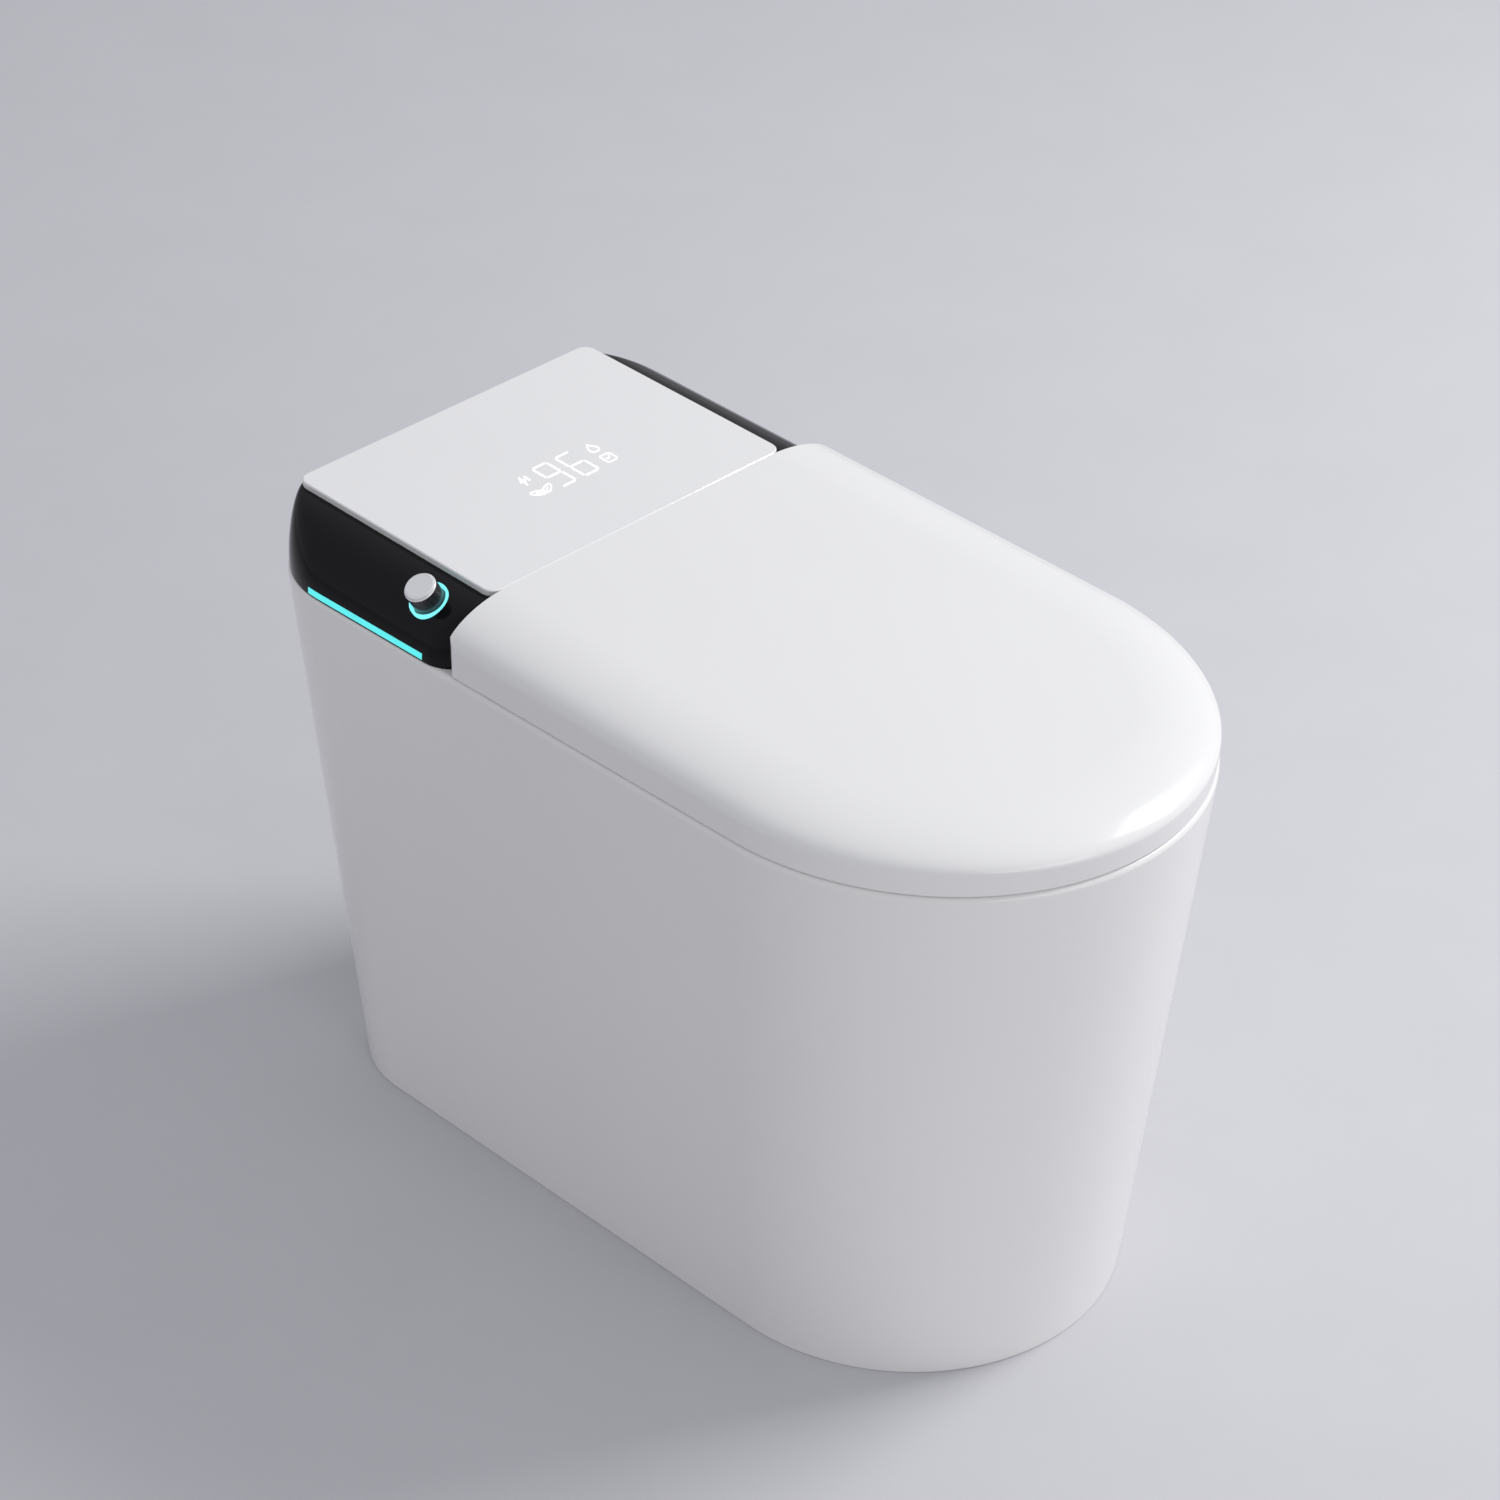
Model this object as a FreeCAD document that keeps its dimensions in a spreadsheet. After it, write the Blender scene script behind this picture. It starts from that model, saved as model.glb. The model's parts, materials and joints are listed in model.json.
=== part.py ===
"""Smart toilet with a heated seat, built as separate pieces in millimetres.

Frame: +Z up, the floor at Z = 0, the wall behind at +Y, the front of the bowl at -Y,
the origin in the middle of the footprint.
"""
import FreeCAD, Part
import math
import os
import re
import Sketcher

VECTOR = FreeCAD.Vector
SIDES = (("left", -1), ("right", 1))

SIZES = {
    # ceramic, outside
    "rim_height": 441.0,
    "rim_half_width": 186.8,
    "rim_nose_depth": 199.9,
    "rim_nose_start": -150.1,
    "rear_face": 350.0,
    "rim_rear_round": 85.0,
    "rim_edge_round": 4.0,
    "base_half_width": 156.4,
    "base_nose_depth": 161.2,
    "base_nose_start": -136.0,
    "base_rear_face": 327.2,
    "base_rear_round": 81.0,
    # ceramic, inside
    "ceramic_wall": 11.0,
    "deck_thickness": 16.0,
    "bowl_half_width": 129.0,
    "bowl_half_length": 165.0,
    "bowl_middle": -115.0,
    "bowl_floor": 205.0,
    "bowl_wall": 10.0,
    "drain_radius": 26.0,
    "drain_setback": 305.0,
    "trap_wall": 9.0,
    "trap_bend": 38.0,
    "trap_mouth_back": 53.0,
    "trap_mouth_rise": 7.0,
    "trap_dip": 75.0,
    "trap_weir_back": 50.0,
    "trap_weir_rise": 10.0,
    "trap_fall_back": 40.0,
    "trap_fall_drop": 95.0,
    "trap_end_drop": 155.0,
    "seal_height": 12.0,
    "seal_radius": 48.0,
    "bay_side": 46.8,
    "bay_front": 127.0,
    "bay_rear": 310.0,
    "bay_corner": 15.0,
    "channel_left": -34.0,
    "channel_right": 84.0,
    "channel_depth": 31.0,
    "channel_front": 25.0,
    "jet_place": 45.0,
    "jet_height": 230.0,
    "jet_bore": 8.0,
    "jet_wall": 5.0,
    "jet_face": 24.0,
    "jet_start": -20.0,
    "jet_bore_start": -60.0,
    "service_half_width": 60.0,
    "service_bottom": 30.0,
    "service_top": 120.0,
    # housing and glass panel
    "panel_side": 46.35,
    "panel_length": 208.0,
    "panel_thickness": 5.0,
    "panel_corner": 10.0,
    "panel_chamfer": 0.8,
    "panel_slope": 0.025,
    "panel_rise": 45.7,
    "panel_bed": 0.05,
    "seam_place": 128.25,
    "seam_gap": 0.7,
    "housing_inset": 1.5,
    "housing_wall": 3.0,
    "housing_front": 122.0,
    "housing_front_round": 28.0,
    "housing_front_round_top": 7.0,
    "housing_step": 0.65,
    "apron_height": 7.0,
    "window_left": -56.0,
    "window_right": 64.0,
    "window_front": 184.0,
    "window_rear": 246.0,
    "window_fit": 0.3,
    "module_thickness": 4.0,
    "print_thickness": 0.3,
    "digit_width": 13.7,
    "digit_height": 32.2,
    "digit_stroke": 2.2,
    "digit_gap": 0.6,
    "digit_pitch": 22.2,
    "digits_middle": 6.9,
    "digits_line": 214.4,
    "symbol_left": -26.0,
    "symbol_right": 40.3,
    "symbol_upper": 222.5,
    "symbol_lower": 205.0,
    "bar_front": 153.0,
    "bar_rear": 275.0,
    "bar_bottom": 1.0,
    "bar_height": 5.0,
    "board_thickness": 1.2,
    # knob
    "knob_inset": 21.8,
    "knob_line": 167.0,
    "knob_lean": 29.0,
    "knob_radius": 11.8,
    "knob_height": 13.8,
    "knob_foot": 1.3,
    "cap_radius": 10.1,
    "cap_fit": 0.1,
    "cap_thickness": 2.3,
    "cap_proud": 1.2,
    "cap_travel": 1.0,
    "cap_float": 0.3,
    "stem_end": 3.0,
    "stem_radius": 2.0,
    "spindle_radius": 3.0,
    "spindle_length": 7.5,
    "ring_inner": 12.3,
    "ring_outer": 14.6,
    "ring_top": 1.0,
    "ring_depth": 3.0,
    "encoder_height": 6.0,
    "running_fit": 0.05,
    # lid
    "lid_side": 0.4,
    "lid_nose": 0.5,
    "lid_flare": 2.2,
    "lid_gap": 0.9,
    "crown_width": 60.0,
    "crown_rear_height": 21.5,
    "crown_front_height": 17.3,
    "lid_wall": 3.5,
    "lid_corner": 12.0,
    "liner_inset": 66.0,
    "liner_thickness": 2.0,
    "lip_height": 5.4,
    "lid_rear_wall": 5.0,
    "lid_overrun": 30.0,
    "flange_relief_rise": 9.0,
    "flange_relief_side": 10.8,
    "hinge_setback": 32.0,
    "hinge_drop": 15.0,
    # seat
    "seat_side": 9.7,
    "seat_rear": 114.0,
    "seat_rear_round": 30.0,
    "seat_gap": 4.0,
    "pan_thickness": 8.0,
    "seat_thickness": 18.0,
    "seat_edge_round": 7.0,
    "hole_half_width": 104.0,
    "hole_half_length": 144.0,
    "hole_middle": -112.0,
    "mat_thickness": 1.0,
    "mat_margin": 16.0,
    "bumper_radius": 9.0,
    "bumper_fit": 0.3,
    "seat_bumper_side": 26.5,
    "seat_bumper_front": -170.0,
    "seat_bumper_rear": 70.0,
    "lid_bumper_side": 76.2,
    "lid_bumper_front": -215.0,
    "lid_bumper_rear": 60.0,
    # hinges
    "shaft_radius": 4.0,
    "eye_radius": 7.0,
    "hook_inner": 37.5,
    "hook_outer": 43.5,
    "hook_lean": 6.0,
    "leg_width": 8.0,
    "tab_thickness": 6.0,
    "tab_length": 85.0,
    "arm_gap": 4.0,
    "arm_width": 12.0,
    "arm_slot_side": 2.0,
    "slot_rear": 172.0,
    "ear_setback": 20.0,
    "ear_width": 14.0,
    "ear_rear": 200.0,
    "drive_width": 38.0,
    "drive_foot_width": 14.0,
    "drive_reach": 10.0,
    "drive_drop": 12.5,
    "shaft_setback": 2.0,
    # chassis and its bolts
    "chassis_front": 178.0,
    "chassis_thickness": 4.0,
    "chassis_inset": 7.3,
    "bolt_setback": 18.0,
    "bolt_front": 196.0,
    "bolt_rear": 262.0,
    "bolt_radius": 3.0,
    "bolt_fit": 0.3,
    "bolt_length": 14.0,
    "bolt_head_radius": 5.5,
    "bolt_head_height": 4.0,
    # wash nozzles
    "nozzle_tilt": 12.0,
    "nozzle_front": 134.0,
    "nozzle_depth": 3.0,
    "wand_radius": 7.0,
    "wand_place": 13.0,
    "wand_fit": 0.1,
    "wand_bore": 3.0,
    "jet_hole": 1.2,
    "wand_start": -14.0,
    "wand_length": 134.0,
    "tip_length": 8.0,
    "guide_half_width": 27.0,
    "guide_half_height": 10.0,
    "guide_length": 130.0,
    "guide_foot_front": 225.0,
    "guide_foot_rear": 250.0,
    "guide_foot_height": 4.0,
    "drive_box_front": 264.0,
    "drive_box_length": 28.0,
    "drive_box_height": 28.0,
    # dryer
    "fan_place": 82.0,
    "fan_line": 240.0,
    "fan_radius": 36.0,
    "fan_wall": 2.5,
    "fan_height": 26.0,
    "fan_inlet": 14.0,
    "impeller_radius": 28.0,
    "impeller_height": 15.0,
    "impeller_gap": 3.0,
    "blade_count": 12,
    "fan_shaft_radius": 2.0,
    "motor_radius": 15.0,
    "motor_height": 26.0,
    "duct_wall": 1.5,
    "flap_thickness": 1.7,
    "flap_pin_radius": 1.6,
    "flap_line": 127.6,
    "flap_pin_depth": 1.6,
    "duct_left": 40.0,
    "duct_right": 76.0,
    "duct_depth": 17.0,
    "duct_height": 14.0,
    "duct_face": 129.5,
    # flushing and electrics
    "tank_side": 5.0,
    "tank_right": -22.0,
    "tank_front": 198.0,
    "tank_rear": 303.0,
    "tank_height": 130.0,
    "tank_wall": 3.0,
    "pump_line": 275.0,
    "pump_radius": 27.0,
    "pump_height": 70.0,
    "pump_neck": 12.0,
    "pipe_radius": 9.0,
    "pipe_wall": 2.0,
    "pipe_bend": 30.0,
    "valve_width": 38.0,
    "valve_side": 10.0,
    "valve_front": 262.0,
    "valve_rear": 298.0,
    "valve_height": 40.0,
    "inlet_radius": 10.48,
    "inlet_bore": 7.0,
    "inlet_length": 16.0,
    "gland_radius": 9.0,
    "gland_bore": 4.0,
    "gland_length": 18.0,
    "heater_side": 10.0,
    "heater_line": 238.0,
    "heater_width": 84.0,
    "heater_depth": 66.0,
    "heater_height": 27.0,
    "heater_round": 6.0,
    "board_side": 9.0,
    "board_line": 304.0,
    "board_width": 94.0,
    "board_depth": 48.0,
    "board_stand": 5.0,
    "supply_side": 10.0,
    "supply_line": 307.0,
    "supply_width": 92.0,
    "supply_depth": 46.0,
    "supply_height": 27.0,
    "cartridge_inset": 38.8,
    "cartridge_line": 228.0,
    "cartridge_width": 22.0,
    "cartridge_depth": 50.0,
    "cartridge_height": 24.0,
}


def add_following(sizes):
    """Add each size that follows from its neighbour's by a named clearance."""
    top = sizes["rim_height"]
    rim = sizes["rim_half_width"]
    bay = rim - sizes["bay_side"]
    lid = rim - sizes["lid_side"] - sizes["lid_flare"]
    lid_nose = sizes["rim_nose_depth"] - sizes["lid_nose"] - sizes["lid_flare"]
    ear = bay - sizes["ear_setback"]
    arm_pitch = sizes["arm_width"] + sizes["arm_gap"]
    lid_arm = ear - arm_pitch
    seat_arm = lid_arm - arm_pitch
    drive = seat_arm - sizes["arm_gap"]
    valve = bay - sizes["valve_side"]
    sizes.update({
        "channel_floor": top - sizes["channel_depth"],
        "panel_front_top": top + sizes["panel_rise"],
        "flange_relief": top + sizes["flange_relief_rise"],
        "nozzle_height": top - sizes["nozzle_depth"],
        "flap_pin_height": top - sizes["flap_pin_depth"],
        "duct_bottom": top - sizes["duct_depth"],
        "bay_half_width": bay,
        "panel_half_width": rim - sizes["panel_side"],
        "knob_place": rim - sizes["knob_inset"],
        "lid_half_width": lid,
        "lid_nose_depth": lid_nose,
        "flange_relief_half": rim - sizes["flange_relief_side"],
        "seat_half_width": lid - sizes["seat_side"],
        "seat_nose_depth": lid_nose - sizes["seat_side"],
        "lid_bumper_place": lid - sizes["lid_bumper_side"],
        "seat_bumper_place": lid - sizes["seat_side"] - sizes["seat_bumper_side"],
        "ear_near": ear,
        "lid_arm_near": lid_arm,
        "seat_arm_near": seat_arm,
        "drive_far": drive,
        "drive_near": drive - sizes["drive_width"],
        "drive_foot": drive - sizes["drive_foot_width"],
        "shaft_far": bay - sizes["shaft_setback"],
        "bolt_place": bay + sizes["bolt_setback"],
        "tank_left": sizes["tank_side"] - bay,
        "valve_right": valve,
        "valve_left": valve - sizes["valve_width"],
        "heater_place": sizes["heater_side"] + sizes["heater_width"] / 2 - bay,
        "board_place": sizes["board_side"] + sizes["board_width"] / 2 - bay,
        "supply_place": bay - sizes["supply_side"] - sizes["supply_width"] / 2,
        "cartridge_place": rim - sizes["cartridge_inset"],
    })


add_following(SIZES)
doc = FreeCAD.newDocument("smart_toilet")
sheet = doc.addObject("Spreadsheet::Sheet", "Sizes")
for row, (name, value) in enumerate(SIZES.items(), 1):
    sheet.set(f"A{row}", name)
    sheet.set(f"B{row}", str(value))
    sheet.setAlias(f"B{row}", name)
doc.recompute()

pieces = {}

ON_CHASSIS = "rim_height + chassis_thickness"


def size(name):
    """A driving dimension, read back from the sheet."""
    return float(sheet.get(name))


def formula(text):
    """Point each size named in the text at its cell of the sheet."""
    return re.sub(r"[a-z_]+", lambda word: "Sizes." + word[0] if word[0] in SIZES else word[0], text)


def place(item, at, axis=(0, 0, 1), angle=0.0):
    """Turn a piece about its own origin and bind that origin to formulas."""
    item.Placement = FreeCAD.Placement(VECTOR(), FreeCAD.Rotation(VECTOR(*axis), angle))
    for letter, text in zip("xyz", at):
        item.setExpression("Placement.Base." + letter, formula(text))
    return item


def box(name, x, y, z):
    """A block between low and high formulas along each axis."""
    item = doc.addObject("Part::Box", name)
    for prop, (low, high) in zip(("Length", "Width", "Height"), (x, y, z)):
        item.setExpression(prop, formula(f"({high}) - ({low})"))
    return place(item, (x[0], y[0], z[0]))


def rod(name, radius, length, at, axis=(0, 0, 1), angle=0.0):
    """A cylinder from a point, along +Z unless it is turned."""
    item = doc.addObject("Part::Cylinder", name)
    item.setExpression("Radius", formula(radius))
    item.setExpression("Height", formula(length))
    return place(item, at, axis, angle)


def rod_x(name, radius, low, high, y, z):
    """A cylinder along X between two formulas."""
    return rod(name, radius, f"({high}) - ({low})", (low, y, z), (0, 1, 0), 90)


def fuse(name, *items):
    item = doc.addObject("Part::MultiFuse", name)
    item.Shapes = list(items)
    return item


def cut(name, base, *tools):
    item = doc.addObject("Part::Cut", name)
    item.Base = base
    item.Tool = tools[0] if len(tools) == 1 else fuse(name + "_tools", *tools)
    return item


def common(name, first, second):
    item = doc.addObject("Part::Common", name)
    item.Base = first
    item.Tool = second
    return item


def shaped(name, shape):
    """A piece whose form no primitive fits, such as a loft between outlines."""
    item = doc.addObject("Part::Feature", name)
    item.Shape = shape
    return item


def piece(label, item):
    """Keep a finished sub-part under the name that its file takes."""
    item.Label = label
    pieces[label] = item
    return item


def across(side, near, far):
    """The X range of something on one side, from its near and far formulas."""
    return (near, far) if side > 0 else (f"-({far})", f"-({near})")


def tilt_angle():
    return math.degrees(math.atan(size("panel_slope")))


def on_panel(item, s="0", depth="0", x="0"):
    """Lay a piece on the sloping top plane, s behind the seam and depth below it."""
    at = (x, f"seam_place + ({s})", f"panel_front_top + panel_slope * ({s}) - ({depth})")
    return place(item, at, (1, 0, 0), tilt_angle())


# Part Design bodies -------------------------------------------------------------------


def plane(body, role):
    return next(item for item in body.Origin.OriginFeatures if item.Role == role)


def new_sketch(body, name, role="XY_Plane"):
    sketch = body.newObject("Sketcher::SketchObject", name)
    sketch.AttachmentSupport = [(plane(body, role), "")]
    sketch.MapMode = "FlatFace"
    return sketch


def circle_sketch(body, name, *radii):
    """Circles about the body's axis, one for each radius formula."""
    sketch = new_sketch(body, name)
    for index, radius in enumerate(radii):
        sketch.addGeometry(Part.Circle(VECTOR(), VECTOR(0, 0, 1), 10.0 - index), False)
        sketch.addConstraint(Sketcher.Constraint("Coincident", index, 3, -1, 1))
        number = sketch.addConstraint(Sketcher.Constraint("Radius", index, 10.0 - index))
        sketch.setExpression(f"Constraints[{number}]", formula(radius))
    return sketch


def rectangle_sketch(body, name, width, depth):
    """A rectangle centred on the body's origin."""
    sketch = new_sketch(body, name)
    corners = [VECTOR(-5, -5, 0), VECTOR(5, -5, 0), VECTOR(5, 5, 0), VECTOR(-5, 5, 0)]
    for index in range(4):
        sketch.addGeometry(Part.LineSegment(corners[index], corners[(index + 1) % 4]), False)
    for index in range(4):
        sketch.addConstraint(Sketcher.Constraint("Coincident", index, 2, (index + 1) % 4, 1))
    for index, kind in enumerate(("Horizontal", "Vertical", "Horizontal", "Vertical")):
        sketch.addConstraint(Sketcher.Constraint(kind, index))
    sketch.addConstraint(Sketcher.Constraint("Symmetric", 0, 1, 1, 2, -1, 1))
    for line, text in ((0, width), (1, depth)):
        number = sketch.addConstraint(Sketcher.Constraint("Distance", line, 10.0))
        sketch.setExpression(f"Constraints[{number}]", formula(text))
    return sketch


def pad(body, sketch, length, down=False):
    feature = body.newObject("PartDesign::Pad", sketch.Name + "_pad")
    feature.Profile = sketch
    feature.setExpression("Length", formula(length))
    feature.Reversed = down
    sketch.Visibility = False
    return feature


def pocket(body, sketch, length, upward=False):
    feature = body.newObject("PartDesign::Pocket", sketch.Name + "_pocket")
    feature.Profile = sketch
    feature.setExpression("Length", formula(length))
    feature.Reversed = upward
    return feature


def lift(sketch, height):
    """Raise a sketch above its plane."""
    sketch.setExpression("AttachmentOffset.Base.z", formula(height))
    return sketch


def edges_where(shape, test):
    return [f"Edge{index}" for index, edge in enumerate(shape.Edges, 1) if test(edge)]


def is_upright(edge):
    low, high = edge.BoundBox.ZMin, edge.BoundBox.ZMax
    return high - low > 0.9 * edge.Length


def dress(body, kind, base, amount, test):
    """Fillet or chamfer the edges of a feature that pass a test."""
    doc.recompute()
    feature = body.newObject("PartDesign::" + kind, f"{base.Name}_{kind.lower()}")
    feature.Base = (base, edges_where(base.Shape, test))
    feature.setExpression("Radius" if kind == "Fillet" else "Size", formula(amount))
    return feature


def new_body(name):
    return doc.addObject("PartDesign::Body", name + "_body")


# outlines and lofts -------------------------------------------------------------------


def ellipse_arc(middle, half_width, depth, start, end, z):
    """Part of an ellipse with its axes along X and Y."""
    circle = Part.Circle(VECTOR(0, 0, 0), VECTOR(0, 0, 1), half_width)
    arc = Part.Arc(circle, start, end).toShape()
    stretch = FreeCAD.Matrix()
    stretch.scale(VECTOR(1, depth / half_width, 1))
    arc = arc.transformGeometry(stretch)
    arc.translate(VECTOR(0, middle, z))
    return arc


def plan(half_width, nose_depth, nose_start, rear, rear_round=0.0, z=0.0):
    """Plan outline: an elliptic nose, straight sides and rounded rear corners."""
    nose = ellipse_arc(nose_start, half_width, nose_depth, math.pi, 2 * math.pi, z)
    edges = [nose]
    last = VECTOR(half_width, nose_start, z)
    if rear_round > 0:
        for side in (1, -1):
            middle = VECTOR(side * (half_width - rear_round), rear - rear_round, z)
            circle = Part.Circle(middle, VECTOR(0, 0, 1), rear_round)
            first = 0.0 if side > 0 else math.pi / 2
            arc = Part.Arc(circle, first, first + math.pi / 2)
            edges.append(Part.LineSegment(last, arc.StartPoint).toShape())
            edges.append(arc.toShape())
            last = arc.EndPoint
    else:
        for corner in (VECTOR(half_width, rear, z), VECTOR(-half_width, rear, z)):
            edges.append(Part.LineSegment(last, corner).toShape())
            last = corner
    edges.append(Part.LineSegment(last, VECTOR(-half_width, nose_start, z)).toShape())
    return Part.Wire(edges)


def rounded_box_wire(half_width, front, rear, front_round, rear_round, z=0.0):
    """Plan outline with straight sides and four rounded corners."""
    edges = []
    last = None
    corners = ((1, rear, rear_round, 0.0), (-1, rear, rear_round, 0.5), (-1, front, front_round, 1.0),
               (1, front, front_round, 1.5))
    for side, line, radius, start in corners:
        inward = -radius if line == rear else radius
        middle = VECTOR(side * (half_width - radius), line + inward, z)
        circle = Part.Circle(middle, VECTOR(0, 0, 1), radius)
        arc = Part.Arc(circle, start * math.pi, (start + 0.5) * math.pi)
        if last is not None:
            edges.append(Part.LineSegment(last, arc.StartPoint).toShape())
        edges.append(arc.toShape())
        last = arc.EndPoint
    edges.append(Part.LineSegment(last, edges[0].firstVertex().Point).toShape())
    return Part.Wire(edges)


def sloped(wire, height, slope):
    """Lift a flat outline to a height at the seam and tip it to a slope."""
    wire = wire.copy()
    wire.rotate(VECTOR(0, size("seam_place"), 0), VECTOR(1, 0, 0), math.degrees(math.atan(slope)))
    wire.translate(VECTOR(0, 0, height))
    return wire


def slab(wire, height):
    return Part.Face(wire).extrude(VECTOR(0, 0, height))


def block(x, y, z):
    """A plain block between plain numbers, for cutting a shaped piece."""
    return Part.makeBox(x[1] - x[0], y[1] - y[0], z[1] - z[0], VECTOR(x[0], y[0], z[0]))


def mix(low, high, share):
    return low + (high - low) * share


def quarter_steps(count):
    """Angles from the foot to the top of a quarter ellipse."""
    return [0.5 * math.pi * step / count for step in range(count + 1)]


# ceramic body -------------------------------------------------------------------------

WIDE = 400.0


def skirt_plan(height, inset=0.0, z=None):
    """The tapered skirt's outline at a height, drawn inwards by an inset."""
    share = height / size("rim_height")
    half_width = mix(size("base_half_width"), size("rim_half_width"), share) - inset
    nose_depth = mix(size("base_nose_depth"), size("rim_nose_depth"), share) - inset
    nose_start = mix(size("base_nose_start"), size("rim_nose_start"), share)
    rear = mix(size("base_rear_face"), size("rear_face"), share) - inset
    rear_round = mix(size("base_rear_round"), size("rim_rear_round"), share) - inset
    return plan(half_width, nose_depth, nose_start, rear, rear_round, height if z is None else z)


def skirt_solid():
    """The outside of the ceramic, with its rounded top edge."""
    top = size("rim_height")
    radius = size("rim_edge_round")
    body = Part.makeLoft([skirt_plan(0.0), skirt_plan(top - radius)], True, True)
    angles = quarter_steps(4)
    edge = [skirt_plan(top - radius, radius * (1 - math.cos(a)), top - radius * (1 - math.sin(a)))
            for a in angles]
    return body.fuse(Part.makeLoft(edge, True, True))


def bowl_solid(grow):
    """The bowl's inside, or its outside when it grows by the wall."""
    top = size("rim_height")
    floor = size("bowl_floor") - grow
    middle = size("bowl_middle")
    shares = ((1.0, 1.0, 1.0, 0.0), (0.74, 0.96, 0.96, 3.0), (0.49, 0.82, 0.82, 15.0),
              (0.23, 0.58, 0.61, 35.0), (0.0, 0.33, 0.34, 55.0))
    wires = []
    for height, wide, long, back in shares:
        half_width = size("bowl_half_width") * wide + grow
        half_length = size("bowl_half_length") * long + grow
        z = mix(floor, top, height)
        wires.append(Part.Wire([ellipse_arc(middle + back, half_width, half_length, 0, 2 * math.pi, z)]))
    return Part.makeLoft(wires, True, False)


def rounded_path(points, radius):
    """Straight runs joined by tangent arcs."""
    edges = []
    last = points[0]
    for before, corner, after in zip(points, points[1:], points[2:]):
        into = (corner - before).normalize()
        out = (after - corner).normalize()
        turn = into.getAngle(out)
        reach = radius * math.tan(turn / 2)
        start = corner - into * reach
        end = corner + out * reach
        inward = (out - into).normalize()
        middle = corner + inward * (radius / math.cos(turn / 2) - radius)
        edges.append(Part.LineSegment(last, start).toShape())
        edges.append(Part.Arc(start, middle, end).toShape())
        last = end
    edges.append(Part.LineSegment(last, points[-1]).toShape())
    return Part.Wire(edges)


def tube_along(points, radius, bend):
    direction = points[1] - points[0]
    ring = Part.Wire([Part.Circle(points[0], direction, radius).toShape()])
    return rounded_path(points, bend).makePipeShell([ring], True, False)


def drain_line():
    return size("rear_face") - size("drain_setback")


def trap_points():
    """The siphon: down out of the bowl, up over the weir and down to the drain."""
    drain = drain_line()
    floor = size("bowl_floor")
    return [VECTOR(0, size("bowl_middle") + size("trap_mouth_back"), floor + size("trap_mouth_rise")),
            VECTOR(0, drain - size("trap_dip"), floor - size("trap_dip")),
            VECTOR(0, drain + size("trap_weir_back"), floor + size("trap_weir_rise")),
            VECTOR(0, drain + size("trap_fall_back"), floor - size("trap_fall_drop")),
            VECTOR(0, drain, floor - size("trap_end_drop")),
            VECTOR(0, drain, size("seal_height"))]


def rod_shape(radius, start, length, direction):
    return Part.makeCylinder(radius, length, VECTOR(*start), VECTOR(*direction))


def jet_rod(radius, start):
    """A rod along the jet port, from a place in the bowl to the port's rear face."""
    at = (size("jet_place"), start, size("jet_height"))
    return rod_shape(radius, at, size("jet_face") - start, (0, 1, 0))


def below(level):
    """Everything under a level."""
    return block((-WIDE, WIDE), (-WIDE, WIDE), (-WIDE, level))


def skirt_shape():
    """The tapered wall that stands on the floor, up to the underside of the deck."""
    wall = size("ceramic_wall")
    under_deck = size("rim_height") - size("deck_thickness")
    hollow = Part.makeLoft([skirt_plan(0.0, wall), skirt_plan(under_deck, wall)], True, True)
    return skirt_solid().common(below(under_deck)).cut([hollow, service_space()]).removeSplitter()


def deck_shape():
    """The rim and deck, with the bowl's mouth, the wash channel and the bay for the equipment."""
    under_deck = size("rim_height") - size("deck_thickness")
    deck = skirt_solid().cut([below(under_deck), bowl_solid(0.0), channel_space(), bay_space()])
    for x, y in bolt_places():
        radius = size("bolt_radius") + size("bolt_fit")
        deck = deck.cut(rod_shape(radius, (x, y, under_deck - 1), size("deck_thickness") + 2, (0, 0, 1)))
    return deck.removeSplitter()


def bowl_shape():
    """The bowl up to the wash channel's floor, with the jet's port."""
    bowl = bowl_solid(size("bowl_wall")).common(below(size("channel_floor")))
    bowl = bowl.fuse([jet_rod(size("jet_bore") + size("jet_wall"), size("jet_start"))])
    bore = tube_along(trap_points(), size("drain_radius"), size("trap_bend"))
    jet_bore = jet_rod(size("jet_bore"), size("jet_bore_start"))
    return bowl.cut([bowl_solid(0.0), bore, jet_bore]).removeSplitter()


def channel_shape():
    """The tray of the wash channel, and the bowl's wall beside it up to the deck."""
    under_deck = size("rim_height") - size("deck_thickness")
    wall = size("ceramic_wall")
    tray = block((size("channel_left") - wall, size("channel_right") + wall),
                 (size("channel_front"), size("bay_front")), (size("channel_floor") - wall, under_deck))
    outside = bowl_solid(size("bowl_wall"))
    collar = outside.common(below(under_deck)).cut(below(size("channel_floor")))
    return tray.cut(outside).fuse([collar]).cut([bowl_solid(0.0), channel_space()]).removeSplitter()


def trapway_shape():
    """The siphon outside the bowl's wall."""
    points = trap_points()
    tube = tube_along(points, size("drain_radius") + size("trap_wall"), size("trap_bend"))
    bore = tube_along(points, size("drain_radius"), size("trap_bend"))
    return tube.cut([bore, bowl_solid(size("bowl_wall"))]).removeSplitter()


def channel_space():
    """The open channel that the wash nozzles and the dryer work through."""
    x = (size("channel_left"), size("channel_right"))
    y = (size("channel_front"), size("bay_front") + 1)
    return block(x, y, (size("channel_floor"), size("rim_height") + 1))


def bay_space():
    """The opening in the deck that the equipment hangs through."""
    half = size("bay_half_width")
    corner = size("bay_corner")
    wire = rounded_box_wire(half, size("bay_front"), size("bay_rear"), corner, corner,
                            size("rim_height") - size("deck_thickness") - 1)
    return slab(wire, size("deck_thickness") + 2)


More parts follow.
